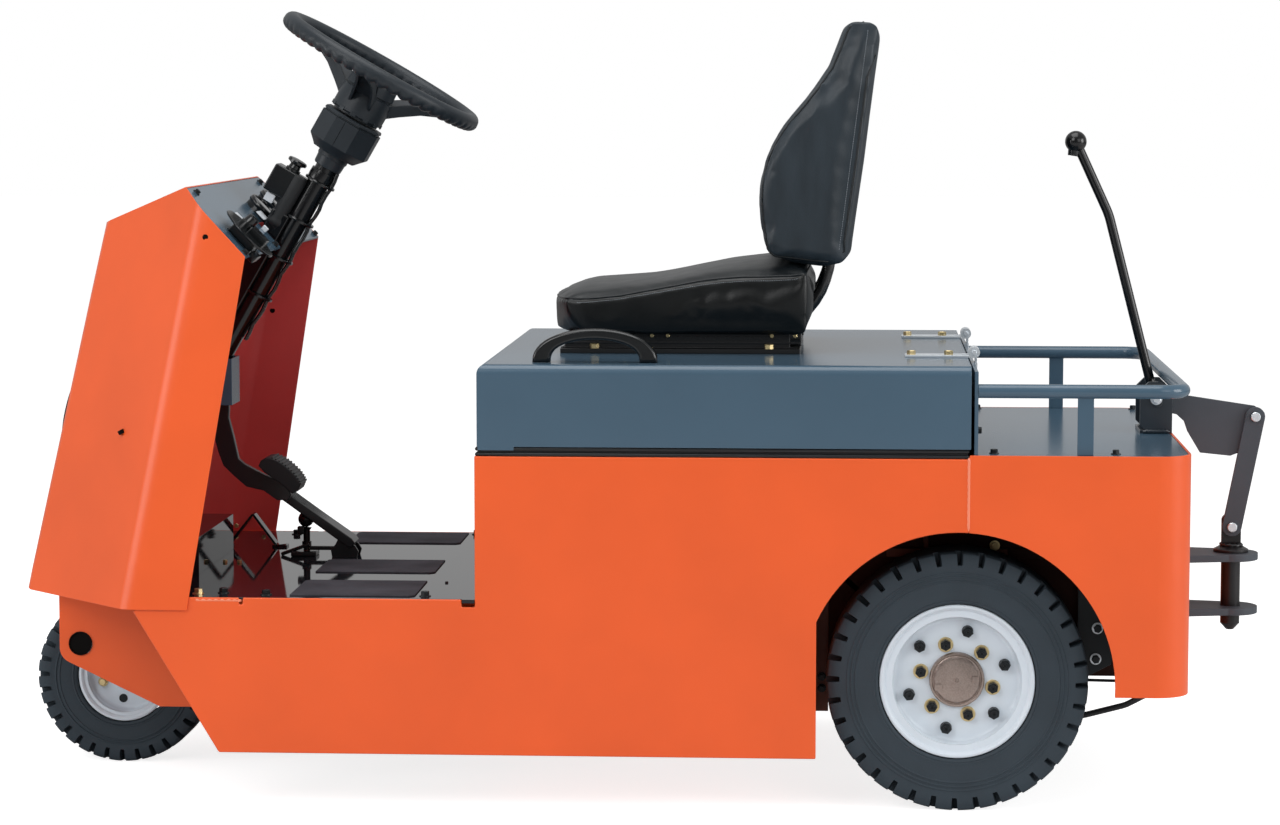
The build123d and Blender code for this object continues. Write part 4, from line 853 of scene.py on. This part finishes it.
# Piping round the cushion's top edge, and round both side panels of the back
seat_middle = Vector((440, 0, 0))
piping = bmesh.new()
loop = []
for k in range(160):
    turn = 2 * pi * k / 160
    u, v = cos(turn), sin(turn)
    stretch = 1 / (abs(u) ** 10 + abs(v) ** 10) ** 0.1
    out = Vector((u * stretch * 196, v * stretch * 214, 0))
    start = seat_middle + out * 1.3
    start.z = between(seam_line, 440 + out.x) + 1
    loop.append(on_skin(cushion, start, -out, 0.3))
pipe(piping, [p for p in loop if p], 2.0, closed=True)
finished("cushion_piping", piping, seat_vinyl, "cover", crease=60, even=False)
piping = bmesh.new()
for side in (1, -1):
    loop = []
    count = len(back_outline)
    for k in range(count):
        (x0, z0), (x1, z1), (x2, z2) = back_outline[k - 1], back_outline[k], back_outline[(k + 1) % count]
        inward = Vector((z0 - z2, 0, x2 - x0)).normalized()
        if (Vector((225 - (z1 - 1010) * 0.4, 0, 1010)) - Vector((x1, 0, z1))).dot(inward) < 0:
            inward.negate()
        inset = 8 if x1 < 182 and z1 > 880 and z1 < 1245 else 5
        loop.append(Vector((x1, 0, z1)) + inward * inset)
    fine = []
    for k in range(count):
        fine += [loop[k], (loop[k] + loop[(k + 1) % count]) / 2]
    spots = [on_skin(back, (p.x, side * 260, p.z), (0, -side, 0), 0.2) for p in fine]
    pipe(piping, [p for p in spots if p], 1.8, closed=True)
finished("back_piping", piping, seat_vinyl, "cover", crease=60, even=False)

# Pale stitches beside the piping: short raised dashes of thread
thread_grey = grained("grey_polyester_thread", "#8B9299", 0.5, 0.02, 0.6, level=0.3)
stitches = bmesh.new()
for side in (1, -1):
    for k in range(100):
        x = 258 + k * 3.6
        spots = [(place, side * 280, between(seam_line, place) - 5) for place in (x, x + 2.2)]
        ends = [on_skin(cushion, spot, (0, -side, 0), 0.1) for spot in spots]
        if all(ends):
            pipe(stitches, ends, 0.35, sides=4)
    for k in range(96):
        z = 884 + k * 3.7
        spots = [(193 - (place - 870) * 0.126, side * 260, place) for place in (z, z + 2.2)]
        ends = [on_skin(back, spot, (0, -side, 0), 0.1) for spot in spots]
        if all(ends):
            pipe(stitches, ends, 0.4, sides=4)
finished("seat_stitches", stitches, thread_grey, "cover", crease=60, even=False)

# Seat slides and base: pressed steel channels on a plate, with slots, rollers and bolts
# Thin enamel over pressed steel: black, half dull; the tubes are dipped and gloss
seat_steel = enamel("black_slide_enamel", "#0F1012", 0.4, 0.1)
black_gloss_tube = enamel("black_tube_enamel", "#0E0F11", 0.18, 0.5)
dressed("seat_base", "seat_slides", [seat_steel])
bm = bmesh.new()
bend = (
    (204, 884), (206, 868), (209, 850), (214, 832), (221, 814), (231, 797), (244, 781), (260, 767), (280, 754),
    (300, 746),
)
for y in (121, -121):
    pipe(bm, [Vector((x, y, z)) for x, z in bend], 9.6, sides=16)
    block(bm, at(282, y, 735), (60, 24, 24), 2)
finished("seat_back_tubes", bm, black_gloss_tube, "cover", stands_for="seat_frame", crease=60)
bm = bmesh.new()
bright = bmesh.new()
for side in (1, -1):
    y = side * 169.6
    for k in range(22):
        block(bm, at(276 + k * 16, y, 738.5), (9, 1.6, 5), 0.5)
    block(bm, at(450, y + side, 730.5), (392, 3, 3), 0.6)
    block(bm, at(452, y + side * 3, 722.6), (386, 8, 2), 0.6)
    for x in (262, 300, 470, 496, 540, 604):
        prism(bright, (x, y + side * 1.2, 742.2), (0, side, 0), 6, 3, chamfer=0.6, turn=x)
    for x in (305, 590):
        prism(bright, (x, side * 176, 721.1), (0, 0, 1), 13, 7, chamfer=1.2, turn=x)
finished("slide_ribs", bm, seat_steel, "cover")
finished("slide_bolts", bright, gold_zinc, "cover")

# Steering column: black enamelled tube with a rubber sleeve, a channel for the cables on its
# front, and the loom tied along it
# Sprayed gloss enamel: near black, with clear narrow lights
black_gloss = enamel("gloss_black_enamel", "#0B0C0E", 0.2, 0.25, cloud=0.1, level=0.35)
# Moulded rubber: dull black, without clear lights
sleeve_rubber = grained("matt_black_rubber", "#1E2022", 1.2, 0.05, 0.6, level=0.4)
bm = bmesh.new()
turned(bm, ((-163, 0), (-163, 19), (-850, 19), (-850, 0)), wheel_centre, column_up, 40)
turned(bm, ((-196, 19.2), (-196, 22), (-206, 22.6), (-214, 22), (-214, 19.2)), wheel_centre, column_up, 40)
block(bm, column_frame(-480, side=27), (34, 46, 380), 4, 3)
finished("column_tube", bm, black_gloss, stands_for="steering_column", crease=40)
bm = bmesh.new()
sleeve = ((-222, 0), (-222, 12), (-225, 13.4), (-300, 13.4), (-306, 15.4), (-312, 15.4), (-316, 13), (-322, 0))
turned(bm, sleeve, wheel_centre + column_side * 29 + column_across * 12, column_up, 36)
finished("column_sleeve", bm, sleeve_rubber, crease=40)
bm = bmesh.new()
for side, across, wave in ((-21, 8, 3), (-20, -9, 4), (-22, 1, 2.4)):
    route = []
    for k in range(24):
        sway = column_frame(-188 - k * 14, side - wave * abs(sin(k * 0.9)), across + wave * sin(k * 0.63))
        route.append(sway.translation)
    pipe(bm, route, 2.6)
for up in (-214, -286, -358, -430):
    tie = ((up, 19.3), (up, 27), (up - 2, 27.6), (up - 4, 27), (up - 4, 19.3))
    turned(bm, tie, wheel_centre - column_side * 2.5, column_up, 28)
finished("column_loom", bm, abs_gloss, crease=50)

# Dashboard: slate-enamelled sheet across the cowl, two round gauges, the key switch on its
# standing plate and a blank label; moulded bezels are pressed in from above
# Slate-blue enamel, sprayed and baked: smooth, with broad clear lights
slate = enamel("slate_enamel", "#465E70", 0.2, 0.1, level=0.45)
# Blank printed film, matt white, and clear glass over black dials
label_white = grained("matt_white_film", "#D6DBE0", 1.0, 0.005, 0.5, cloud=0.02)
gauge_glass = enamel("gauge_glass_black", "#101317", 0.06, 0.8, cloud=0.02)
dressed("dash_panel", "dash_sheet", [slate], edge=0.9)
dash_normal = Vector((-109, 0, 102)).normalized()
dash_run = Vector((102, 0, 109)).normalized()
dash_frame = at(1180, 0, 933.5) @ Matrix((dash_run, (0, 1, 0), dash_normal)).transposed().to_4x4()


def standing(y):
    """Placement on an upright plane: x forward, y up, z to the right of the vehicle."""
    return Matrix(((1, 0, 0, 0), (0, 0, -1, y), (0, 1, 0, 0), (0, 0, 0, 1)))


def plate(bm, outline, place, thick, bevel=0.8, segments=2):
    """Flat plate from its outline in mm, centred in its thickness on a placement."""
    lift = place.to_3x3() @ Vector((0, 0, 1))
    base = bm.faces.new([bm.verts.new(place @ Vector((x, y, -thick / 2))) for x, y in outline])
    made = bmesh.ops.extrude_face_region(bm, geom=[base])["geom"]
    verts = [v for v in made if isinstance(v, bmesh.types.BMVert)]
    bmesh.ops.translate(bm, verts=verts, vec=lift * thick)
    around = {f for v in verts for f in v.link_faces} | {base}
    edges = {e for f in around for e in f.edges}
    bmesh.ops.recalc_face_normals(bm, faces=list(around))
    flat = [e for e in edges if abs((e.verts[0].co - e.verts[1].co).dot(lift)) < 1e-3]
    rounded(bm, flat, bevel, segments)


def bolt(bm, spot, along, across=13.0, turn=0.0, washer=True):
    """Hexagon head on its washer, standing on a spot."""
    spot, along = Vector(spot), Vector(along).normalized()
    if washer:
        ring = ((0, 0), (0, across * 0.78), (1.4, across * 0.76), (1.6, across * 0.6), (1.6, 0))
        turned(bm, ring, spot, along, 24)
        spot = spot + along * 1.4
    prism(bm, spot, along, across, across * 0.52, chamfer=across * 0.09, turn=turn)


def weld(bm, path, radius, pitch=3.2):
    """Rippled weld bead along a path in mm."""
    spots = []
    for a, b in zip(path, path[1:]):
        a, b = Vector(a), Vector(b)
        count = max(2, int((b - a).length / pitch))
        for k in range(count):
            ripple = Vector((0.4, 0.6, 1)) * 0.22 * radius
            spots.append(a.lerp(b, k / count) + (ripple if len(spots) % 2 else -ripple))
    pipe(bm, spots + [Vector(path[-1])], radius, ends=0.5)


bm = bmesh.new()
glass = bmesh.new()
bezel = (
    (-2, 0), (-2, 26.5), (8, 26.5), (8.5, 28.5), (12, 29.5), (13, 28.5), (15.5, 28.5), (17.5, 27.1), (18, 24.5),
    (15, 23), (15, 0),
)
for along, across in ((0, -40), (6, -166)):
    centre = dash_frame @ Vector((along, across, 0))
    turned(bm, bezel, centre, dash_normal, 48)
    turned(glass, ((15.1, 0), (15.1, 23.1), (16.2, 20.5), (17, 0)), centre, dash_normal, 48)
# Standing plate with the key switch on it and its foot bracket
outline = [(cos(2 * pi * k / 48) * 51, sin(2 * pi * k / 48) * 48) for k in range(48)]
plate(bm, outline, dash_frame @ at(-46, 300, 18), 3.6, 1.4)
key_switch = ((19, 0), (19, 13), (26, 13), (27, 11), (29, 11), (37, 10.4), (40, 9), (41, 6), (41, 0))
turned(bm, key_switch, dash_frame @ Vector((-32, 286, 0)), dash_normal, 36)
for along, across, height, size, bevel in (
    (-44, 300, 8, (50, 46, 16), 2),
    (-58, 290, 24, (34, 30, 12), 2),
    (-48, 250, 12, (44, 22, 24), 2),
    (-78, 320, 0, (16, 40, 14), 2.4),
):
    block(bm, dash_frame @ at(along, across, height), size, bevel)
finished("dash_gauges_and_switch", bm, abs_gloss, stands_for="dash_gauges", crease=38)
finished("gauge_glasses", glass, gauge_glass, crease=30)
bm = bmesh.new()
for along, across, height, size in (
    (0, 160, 1.0, (17, 52, 1.4)),
    (-14, 24, 12, (19, 44, 1.4)),
    (-36, 52, 4, (10, 9, 8)),
):
    block(bm, dash_frame @ at(along, across, height), size, 0.5, 1)
block(bm, column_frame(-279, side=58, across=10), (17, 14, 15), 1.4)
finished("blank_labels_and_plug", bm, label_white)
bm = bmesh.new()
for along, across in ((-22, 312), (-68, 360), (60, 300), (-68, 70), (-68, -90), (60, -300), (-22, -312), (-68, -360)):
    bolt(bm, dash_frame @ Vector((along, across, 0.2)), dash_normal, 8, along)
finished("dash_screws", bm, black_oxide)

# Floor and front tunnel: folded sheet, enamelled gloss black and bolted to the frame; three
# gritty mats are glued on it
# Flowed gloss enamel: black, and mirrors the cowl that stands over it
floor_gloss = enamel("gloss_black_floor_enamel", "#1A1B20", 0.05, 0.0, peel=0.015, cloud=0.1, level=0.42)
dressed("floor_plate", "floor_sheet", [floor_gloss])
dressed("front_tunnel", "front_tunnel_sheet", [floor_gloss], edge=0.6)
# Mineral grit glued on a backing: mid grey, rough, without lights
gritty_mat = grained("grit_coated_mat", "#45454B", 1.5, 0.5, 0.92, cloud=0.3, level=0.12)
bm = bmesh.new()
for y0, y1 in ((-396, -251), (-27, 124), (224, 394)):
    place = at(961, (y0 + y1) / 2, 340.9)
    half = (y1 - y0) / 2
    corners = ((-100, -half), (92, -half), (100, 9 - half), (100, half), (-92, half), (-100, half - 9))
    plate(bm, corners, place, 2.4, 0.5, 1)
finished("grit_mats", bm, gritty_mat, stands_for="anti_slip_mats", crease=30)
bm = bmesh.new()
gold = bmesh.new()
for x, y in ((1171.6, 368), (845, 385), (845, -385), (1100, 385), (1171, -368)):
    bolt(bm, (x, y, 340), (0, 0, 1), 12, x)
prism(bm, (828, 235, 340), (0, 0, 1), 5, 2, turn=1)
bolt(gold, (1210.4, 379, 340), (0, 0, 1), 12, 0.3)
for x, y in ((1233.8, 10), (1208.7, 12)):
    bolt(gold, (x, y, 340), (0, 0, 1), 7.5, x, washer=False)
for y in (408, -408):
    for x in (1288, 1238):
        bolt(gold, (x, y, 350), (0, -y, 0), 7.5, x, washer=False)
finished("floor_bolts", bm, black_oxide)
finished("floor_gold_bolts", gold, gold_zinc)

# Pedals: pressed steel arms, enamelled black, with ribbed rubber pads pushed on; the brake
# hangs from the knee plate and the accelerator stands on the floor
# Dipped enamel rubbed by boots is satin; the moulded pads are dull
satin_black = enamel("satin_black_enamel", "#15171A", 0.34, 0.15, level=0.45)
pad_rubber = grained("moulded_pad_rubber", "#1C1F22", 0.9, 0.05, 0.5, level=0.4)
bm = bmesh.new()
arm = (
    (1225, 641), (1225, 600), (1225.8, 587), (1218, 556), (1209.5, 517), (1199.6, 508.6), (1163.7, 489), (1131, 476),
    (1119.8, 456.5), (1124.7, 446.6), (1144.4, 446.6), (1167.2, 463), (1196.5, 469.5), (1218, 488), (1235.6, 505.4),
    (1244, 528), (1250, 551), (1249, 587), (1248.7, 641),
)
plate(bm, arm, standing(0), 14, 1.4, 3)
turned(bm, ((-34, 0), (-34, 7), (34, 7), (34, 0)), (1237, 0, 628), (0, 1, 0), 24)
finished("brake_arm", bm, satin_black, stands_for="brake_pedal")
bm = bmesh.new()
pad = (
    (1171, 508), (1167, 517), (1160, 521), (1151, 522), (1139, 517.5), (1128, 510.5), (1118, 502), (1109, 493),
    (1103, 484), (1099.6, 476), (1104, 465.6), (1114, 461), (1123, 469), (1132, 477), (1161, 497),
)
plate(bm, pad, standing(0), 70, 2.2, 3)
ridge = pad[3:10]
for (x0, z0), (x1, z1) in zip(ridge, ridge[1:]):
    slope = atan2(z1 - z0, x1 - x0)
    for share in (0.25, 0.75):
        spot = at(x0 + (x1 - x0) * share, 0, z0 + (z1 - z0) * share)
        block(bm, spot @ Matrix.Rotation(-slope, 4, "Y"), (3.4, 66, 4), 0.9, 1)
finished("brake_pad", bm, pad_rubber, crease=40)

bm = bmesh.new()
plate(bm, ((1027, 373), (1022, 366), (1025, 359), (1033, 357), (1161, 449), (1156, 463)), standing(-90), 56, 2, 3)
foot = ((1019, 340), (1062, 340), (1064, 352), (1056, 362), (1050, 374), (1036, 366), (1022, 360), (1016, 350))
for y in (-70, -110):
    plate(bm, foot, standing(y), 6, 1)
turned(bm, ((-26, 0), (-26, 5), (26, 5), (26, 0)), (1036, -90, 360), (0, 1, 0), 20)
turned(bm, ((-50, 0), (-50, 5.8), (-6, 5.8), (-2, 9), (0, 0)), (1109, -90, 390), (0, 0, 1), 24)
bmesh.ops.create_uvsphere(bm, u_segments=32, v_segments=18, radius=13.5, matrix=at(1110, -90, 403))
prism(bm, (1109, -90, 356), (0, 0, 1), 15, 8, chamfer=1.2)
for place, tilt, size, bevel in (
    (at(1118, -86, 384), 0, (12, 12, 14), 2),
    (at(1112, -90, 344), 0, (44, 40, 8), 1.6),
    (at(1128, -84, 351), 0.35, (52, 9, 6), 1.4),
    (at(1082, -88, 353), 0, (46, 7, 7), 1.4),
):
    block(bm, place @ Matrix.Rotation(tilt, 4, "Y"), size, bevel)
for k in range(9):
    block(bm, at(1092.5, -114 + k * 6, 417.4) @ Matrix.Rotation(-0.6245, 4, "Y"), (146, 2.4, 3), 0.6, 1)
finished("accelerator", bm, satin_black, stands_for="accelerator_pedal", crease=40)

# Battery cover: folded and welded box in slate enamel, open underneath, with rolled top
# edges; it sits on a double rubber seal and carries the seat
dressed("battery_cover", "cover_sheet", [slate], edge=1.0)
bm = bmesh.new()
block(bm, at(728, 419.2, 586.5), (57, 1.4, 18), 0.5, 1)
finished("cover_corner_lap", bm, slate, "cover")
# Extruded rubber: smooth along its length, so a thin light runs on each rib
seal_rubber = grained("extruded_seal_rubber", "#15171A", 1.0, 0.02, 0.34, level=0.5)
bm = bmesh.new()
for z in (579.6, 571.2):
    corners = ((-12, 416.6), (698, 416.6), (758, 416.4), (758, 0), (758, -416.4), (-12, -416.6))
    pipe(bm, [Vector((x, y, z)) for x, y in corners], 3.0, closed=True, sides=12)
for x, y, length, width in ((372, 413, 768, 3), (372, -413, 768, 3), (755, 0, 3, 828), (-10, 0, 3, 828)):
    block(bm, at(x, y, 575.3), (length, width, 14), 0.4, 1)
finished("seal_strip", bm, seal_rubber, "cover", stands_for="cover_seal", crease=60)

# Lift handle: one moulded bridge of black plastic, flared at its feet, screwed to the cover
# from below
bm = bmesh.new()
outer = [(575 + 99 * cos(pi * k / 24), 713.4 + 53 * sin(pi * k / 24) ** 0.86) for k in range(25)]
inner = [(575 + 71 * cos(pi * k / 24), 713.4 + 36.5 * sin(pi * k / 24) ** 0.8) for k in range(25)]
plate(bm, outer + inner[::-1], standing(365), 27, 5.2, 4)
finished("lift_handle", bm, abs_gloss, "cover", stands_for="cover_handle", crease=50)

# Hinges: zinc-plated steel leaves rolled round a pin; yellow zinc bolts hold them to the
# cover and the bulkhead
# Bright zinc plate: pale metal, almost white where it faces the light
bright_zinc = grained("bright_zinc_plate", "#E6ECF1", 0.9, 0.01, 0.34, metallic=0.7, cloud=0.05)
dressed("cover_hinge_leaves", "moving_hinge_leaves", [bright_zinc], edge=0.5)
dressed("fixed_hinge_leaves", "fixed_leaves", [bright_zinc], edge=0.5)
knuckle = ((-4, 0), (-4, 8.9), (0, 8.9), (0, 6.4), (-0.8, 6.1), (-0.8, 4.4), (0.2, 4.1), (0.2, 0))
bm = bmesh.new()
gold = bmesh.new()
for side in (1, -1):
    for end in (1, -1):
        spot = (-27, side * 217.5 + end * 20.2, 721.3)
        turned(bm, knuckle, spot, (0, end, 0), 32)
    for x in (14, 74):
        bolt(gold, (x, side * 217.5 + 6, 715), (0, 0, 1), 12.5, x)
    bolt(gold, (-24, side * 217.5, 676), (-1, 0, 0), 10)
finished("hinge_knuckle_ends", bm, bright_zinc, "cover", crease=30)
finished("hinge_bolts", gold, gold_zinc, "cover")

# Load deck: slate-enamelled steel sheet bolted down behind the battery, with its bulkhead,
# and a rail of bent tube welded on posts
dressed("rear_deck", "deck_sheet", [slate])
dressed("rear_bulkhead", "bulkhead_sheet", [slate])
dressed("load_rail", "rail_tubes", [slate], crease=50)
bm = bmesh.new()
for x, y in ((-28, 380), (-54, 385), (-244, 385), (-54, -385), (-244, -385), (-40, -230), (-330, -385)):
    if x > -30:
        bolt(bm, (x, y, 610), (-1, 0, 0), 9)
    else:
        bolt(bm, (x, y, 574), (0, 0, 1), 10, x)
finished("deck_bolts", bm, black_oxide)

# Coupling lever: forged arm plates in matt charcoal, a gloss black rod with a ball knob,
# pivoting in a welded bracket on the deck; a flat link drops to the tow pin
# Matt enamel over forged scale: even dark grey
charcoal = grained("matt_charcoal_enamel", "#43484F", 1.1, 0.03, 0.55, cloud=0.06, level=0.4)
# Brushed enamel on the welded bracket: blue-black, half gloss
dark_bracket = enamel("blue_black_enamel", "#272E35", 0.3, 0.2, cloud=0.1)
dressed("lever_bracket", "pivot_bracket", [dark_bracket])


def arm_plates(face):
    """Faces of the lever behind its pivot take the second finish."""
    return int(face.calc_center_median().x < rear_axle_x - 0.378)


dressed("tow_lever", "lever_and_arm", [black_gloss, charcoal], paint=arm_plates)
dressed("tow_link", "lift_link", [charcoal])
# Oxide worn by drawbar rings: brown-black, dull metal in the light
pin_black = grained("worn_black_pin", "#1C1A1C", 1.6, 0.04, 0.34, metallic=0.2, cloud=0.25)
dressed("tow_pin", "tow_pin_forging", [pin_black])
dressed("drawbar", "jaw_plates", [charcoal], edge=1.2)
bm = bmesh.new()
turned(bm, [(17.9 * -cos(pi * k / 16), 17.9 * sin(pi * k / 16)) for k in range(17)], (-200, 0, 1056), (0, 0, 1), 40)
turned(bm, ((-24, 0), (-24, 9.5), (-14, 10.5), (-14, 0)), (-200, 0, 1056), (-0.16, 0, 0.99), 28)
finished("lever_knob", bm, abs_gloss, "tow_lever_body", crease=50)
link_pin = ((17.2, 0), (17.2, 8), (19.4, 8), (20.4, 7), (20.4, 0))
bm = bmesh.new()
turned(bm, link_pin, (-502, 0, 599.5), (0, 1, 0), 32)
turned(bm, ((-8, 0), (-8, 7.6), (0, 7.6), (0, 0)), (-502, 0, 599.5), (0, 1, 0), 32)
finished("upper_link_pin", bm, bright_zinc, "tow_link_body", crease=30)
bm = bmesh.new()
turned(bm, link_pin, (-466, 0, 414), (0, 1, 0), 32)
finished("lower_link_pin", bm, bright_zinc, "tow_pin_body", crease=30)
bm = bmesh.new()
bolt(bm, (-334, 54, 632), (0, 1, 0), 13, 0.2)
finished("pivot_nut", bm, bright_zinc)
bm = bmesh.new()
for y in (54, -54):
    weld(bm, ((-356, y, 578), (-312, y, 578)), 3.0)
finished("bracket_weld", bm, dark_bracket, crease=50)
bm = bmesh.new()
ring = [(-466 + 17 * cos(2 * pi * k / 12), 17 * sin(2 * pi * k / 12), 383) for k in range(13)]
weld(bm, ring, 3.2)
finished("pin_weld", bm, pin_black, "tow_pin_body", crease=50)

# Weld seams of the shell: between side sheet and tail, and at the sill under the cowl, ground
# flat and painted over; drawn in a paler orange all along as a painted highlight
weld_highlight_orange = enamel("pale_orange_painted_highlight", "#F58A66", 0.3, 0.3)
bm = bmesh.new()
for side in (1, -1):
    weld(bm, ((-14, side * 418.6, 571), (-14, side * 418.6, 455)), 2.6, 5)
    weld(bm, ((1210, side * 418, 335.5), (1134, side * 418, 335.5)), 2.6, 5)
finished("shell_welds", bm, weld_highlight_orange, crease=60)

# Headlamps: pressed steel bezels screwed to the cowl's front, bright reflectors with a bulb,
# and fluted glass held in by the bezel
lamp_x = 1465.0
lamp_way = Vector((1, 0, 0.227)).normalized()
# Pressed glass with fine flutes, which break up the light; mirror of vacuumed-on aluminium
lamp_glass = enamel("fluted_lamp_glass", "#DDE6EC", 0.08, 0.5, peel=0.3, cloud=0.02)
lamp_glass.node_tree.nodes["Principled BSDF"].inputs["Transmission Weight"].default_value = 0.85
reflector = grained("aluminised_reflector", "#DDE2E6", 3.0, 0.01, 0.14, metallic=1.0, cloud=0.03)
bezels, bowls, lenses = bmesh.new(), bmesh.new(), bmesh.new()
for side in (1, -1):
    for bm, profile, steps in (
        (
            bezels,
            ((-8, 56.5), (0.6, 56.5), (0.6, 61.6), (4, 61.6), (6.4, 59), (6.4, 54), (2, 52), (-8, 52), (-8, 56.5)),
            64,
        ),
        (
            bowls,
            (
                (-43, 0), (-43, 20), (-34, 34), (-20, 46), (-8, 53), (-8, 54.5), (-22, 48), (-36, 36), (-45, 21),
                (-45, 0),
            ),
            48,
        ),
        (bowls, ((-43, 0), (-43, 8), (-26, 8), (-24, 6), (-24, 0)), 24),
        (
            lenses,
            (
                (3, 53.4), (6, 50), (9.6, 36), (12.4, 20), (13.6, 0), (10.6, 0), (9.4, 20), (6.6, 36), (2, 50),
                (0, 53.4), (3, 53.4),
            ),
            64,
        ),
    ):
        turned(bm, profile, (lamp_x, side * 105, 610), lamp_way, steps)
finished("lamp_bezels", bezels, black_gloss, stands_for="headlamps", crease=40)
finished("lamp_reflectors", bowls, reflector, crease=60)
finished("lamp_lenses", lenses, lamp_glass, crease=60)

# Steering fork and head, and the rear axle with its motor: iron castings and forgings in
# black chassis paint, bolted into the frame
# Brushed chassis paint over sand castings: dull black with their grain
chassis_black = grained("chassis_black_paint", "#1C1D1F", 1.4, 0.08, 0.5, cloud=0.15)
for node, name in (
    ("front_fork", "fork_forging"),
    ("steering_head", "head_casting"),
    ("rear_axle", "axle_and_motor"),
):
    dressed(node, name, [chassis_black], edge=1.2)

# Battery: moulded cells in a steel crate, each with its lid, two lead posts, a vent cap, and
# links of cast lead from cell to cell
# Moulded cases dull black, cast lead dull grey, and the caps moulded blue
cell_black = grained("moulded_cell_case", "#26292C", 1.5, 0.04, 0.5)
lead_grey = grained("dull_lead_alloy", "#7E848A", 1.0, 0.04, 0.45, metallic=0.8)
vent_blue = grained("blue_vent_cap", "#2D5F8F", 1.0, 0.02, 0.4)
dressed("battery_block", "cell_cases", [cell_black], edge=1.5)
lids, posts, vents = bmesh.new(), bmesh.new(), bmesh.new()
for i in range(3):
    for k in range(8):
        x, y = 244 + 83.3 + i * 166.6, -350 + k * 100
        block(lids, at(x, y, 552), (161, 95, 7), 2)
        turned(vents, ((0, 0), (0, 15), (8, 14), (10, 11), (10, 0)), (x, y, 555), (0, 0, 1), 20)
        for end in (-1, 1):
            turned(posts, ((0, 0), (0, 11), (9, 10), (9, 0)), (x + end * 52, y, 555), (0, 0, 1), 16)
        if k < 7:
            block(posts, at(x + (52 if k % 2 else -52), y + 50, 561), (20, 100, 5), 1)
finished("cell_lids", lids, cell_black, crease=40)
finished("lead_links", posts, lead_grey, crease=40)
finished("vent_caps", vents, vent_blue, crease=40)

# Behind the wheel arches: a cross bar of orange steel drawn brown as painted shade, a black bracket plate bolted
# to the frame, and the brake cable
for side in (1, -1):
    bm = bmesh.new()
    block(bm, at(14, side * 219, 394), (196, 5, 14), 1)
    block(bm, at(48, side * 219, 418), (8, 5, 36), 1)
    block(bm, at(217, side * 219, 235), (24, 5, 205), 1)
    finished("arch_bar_" + ("left" if side > 0 else "right"), bm, brown_half_shade_paint, crease=40)
bm = bmesh.new()
gold = bmesh.new()
rings = bmesh.new()
for side in (1, -1):
    bracket = ((-196, 420), (-196, 214), (-204, 203), (-214, 200), (-250, 219), (-252, 230), (-252, 420))
    plate(bm, bracket, standing(side * 250), 4, 0.8)
    for x, z in ((-228, 278), (-225.5, 228)):
        turned(rings, ((0, 0), (0, 9.4), (1.4, 9), (1.4, 0)), (x, side * 252, z), (0, side, 0), 24)
        bolt(bm, (x, side * 253.4, z), (0, side, 0), 12, x, washer=False)
    bolt(gold, (-63, side * 221, 407), (0, side, 0), 11)
    for x, z in ((215.7, 171), (215.7, 190)):
        bolt(bm, (x, side * 222, z), (0, side, 0), 9, x)
    # Brake cable from the axle to the tail, clipped under the deck
    run = ((-150, 232, 196), (-205, 230, 190), (-262, 228, 188.6), (-350, 224, 197))
    pipe(bm, [Vector((x, side * y, z)) for x, y, z in run], 2.5)
finished("arch_brackets", bm, black_oxide)
finished("arch_bolt_rings", rings, bright_zinc)
finished("arch_gold_bolts", gold, gold_zinc)

# Small holes and screws in the cowl, and the tie-down holes of the front frame: shadowed, so
# that they show as black discs
# Unlit inside: black without lights
hole_black = grained("shadowed_hole", "#0B0908", 1.0, 0.02, 0.8, level=0.1)
bm = bmesh.new()
folded = bpy.data.objects["folded_cowl"]
bpy.context.view_layer.update()
for x, start, z in ((1192.4, 600, 909.7), (1202.7, -300, 812.6), (1215.3, -300, 744.3), (1192.4, -600, 909.7)):
    way = 1 if start == -600 else -1
    spot = on_skin(folded, (x, start, z), (0, way, 0))
    turned(bm, ((-0.6, 0), (-0.6, 4.6), (0.25, 4.6), (0.25, 0)), spot, (0, -way, 0), 20)
tie_down = ((-3, 0), (-3, 19.4), (0.3, 19.4), (0.3, 18), (-1.6, 17), (-1.6, 0))
for side in (1, -1):
    turned(bm, tie_down, (1439, side * 217.4, 231), (0, side, 0), 36)
    prism(bm, on_skin(folded, (1340, side * 330, 1200), (0, 0, -1)), (0.45, 0, 0.89), 10, 6, turn=0.4)
finished("dark_holes", bm, hole_black)
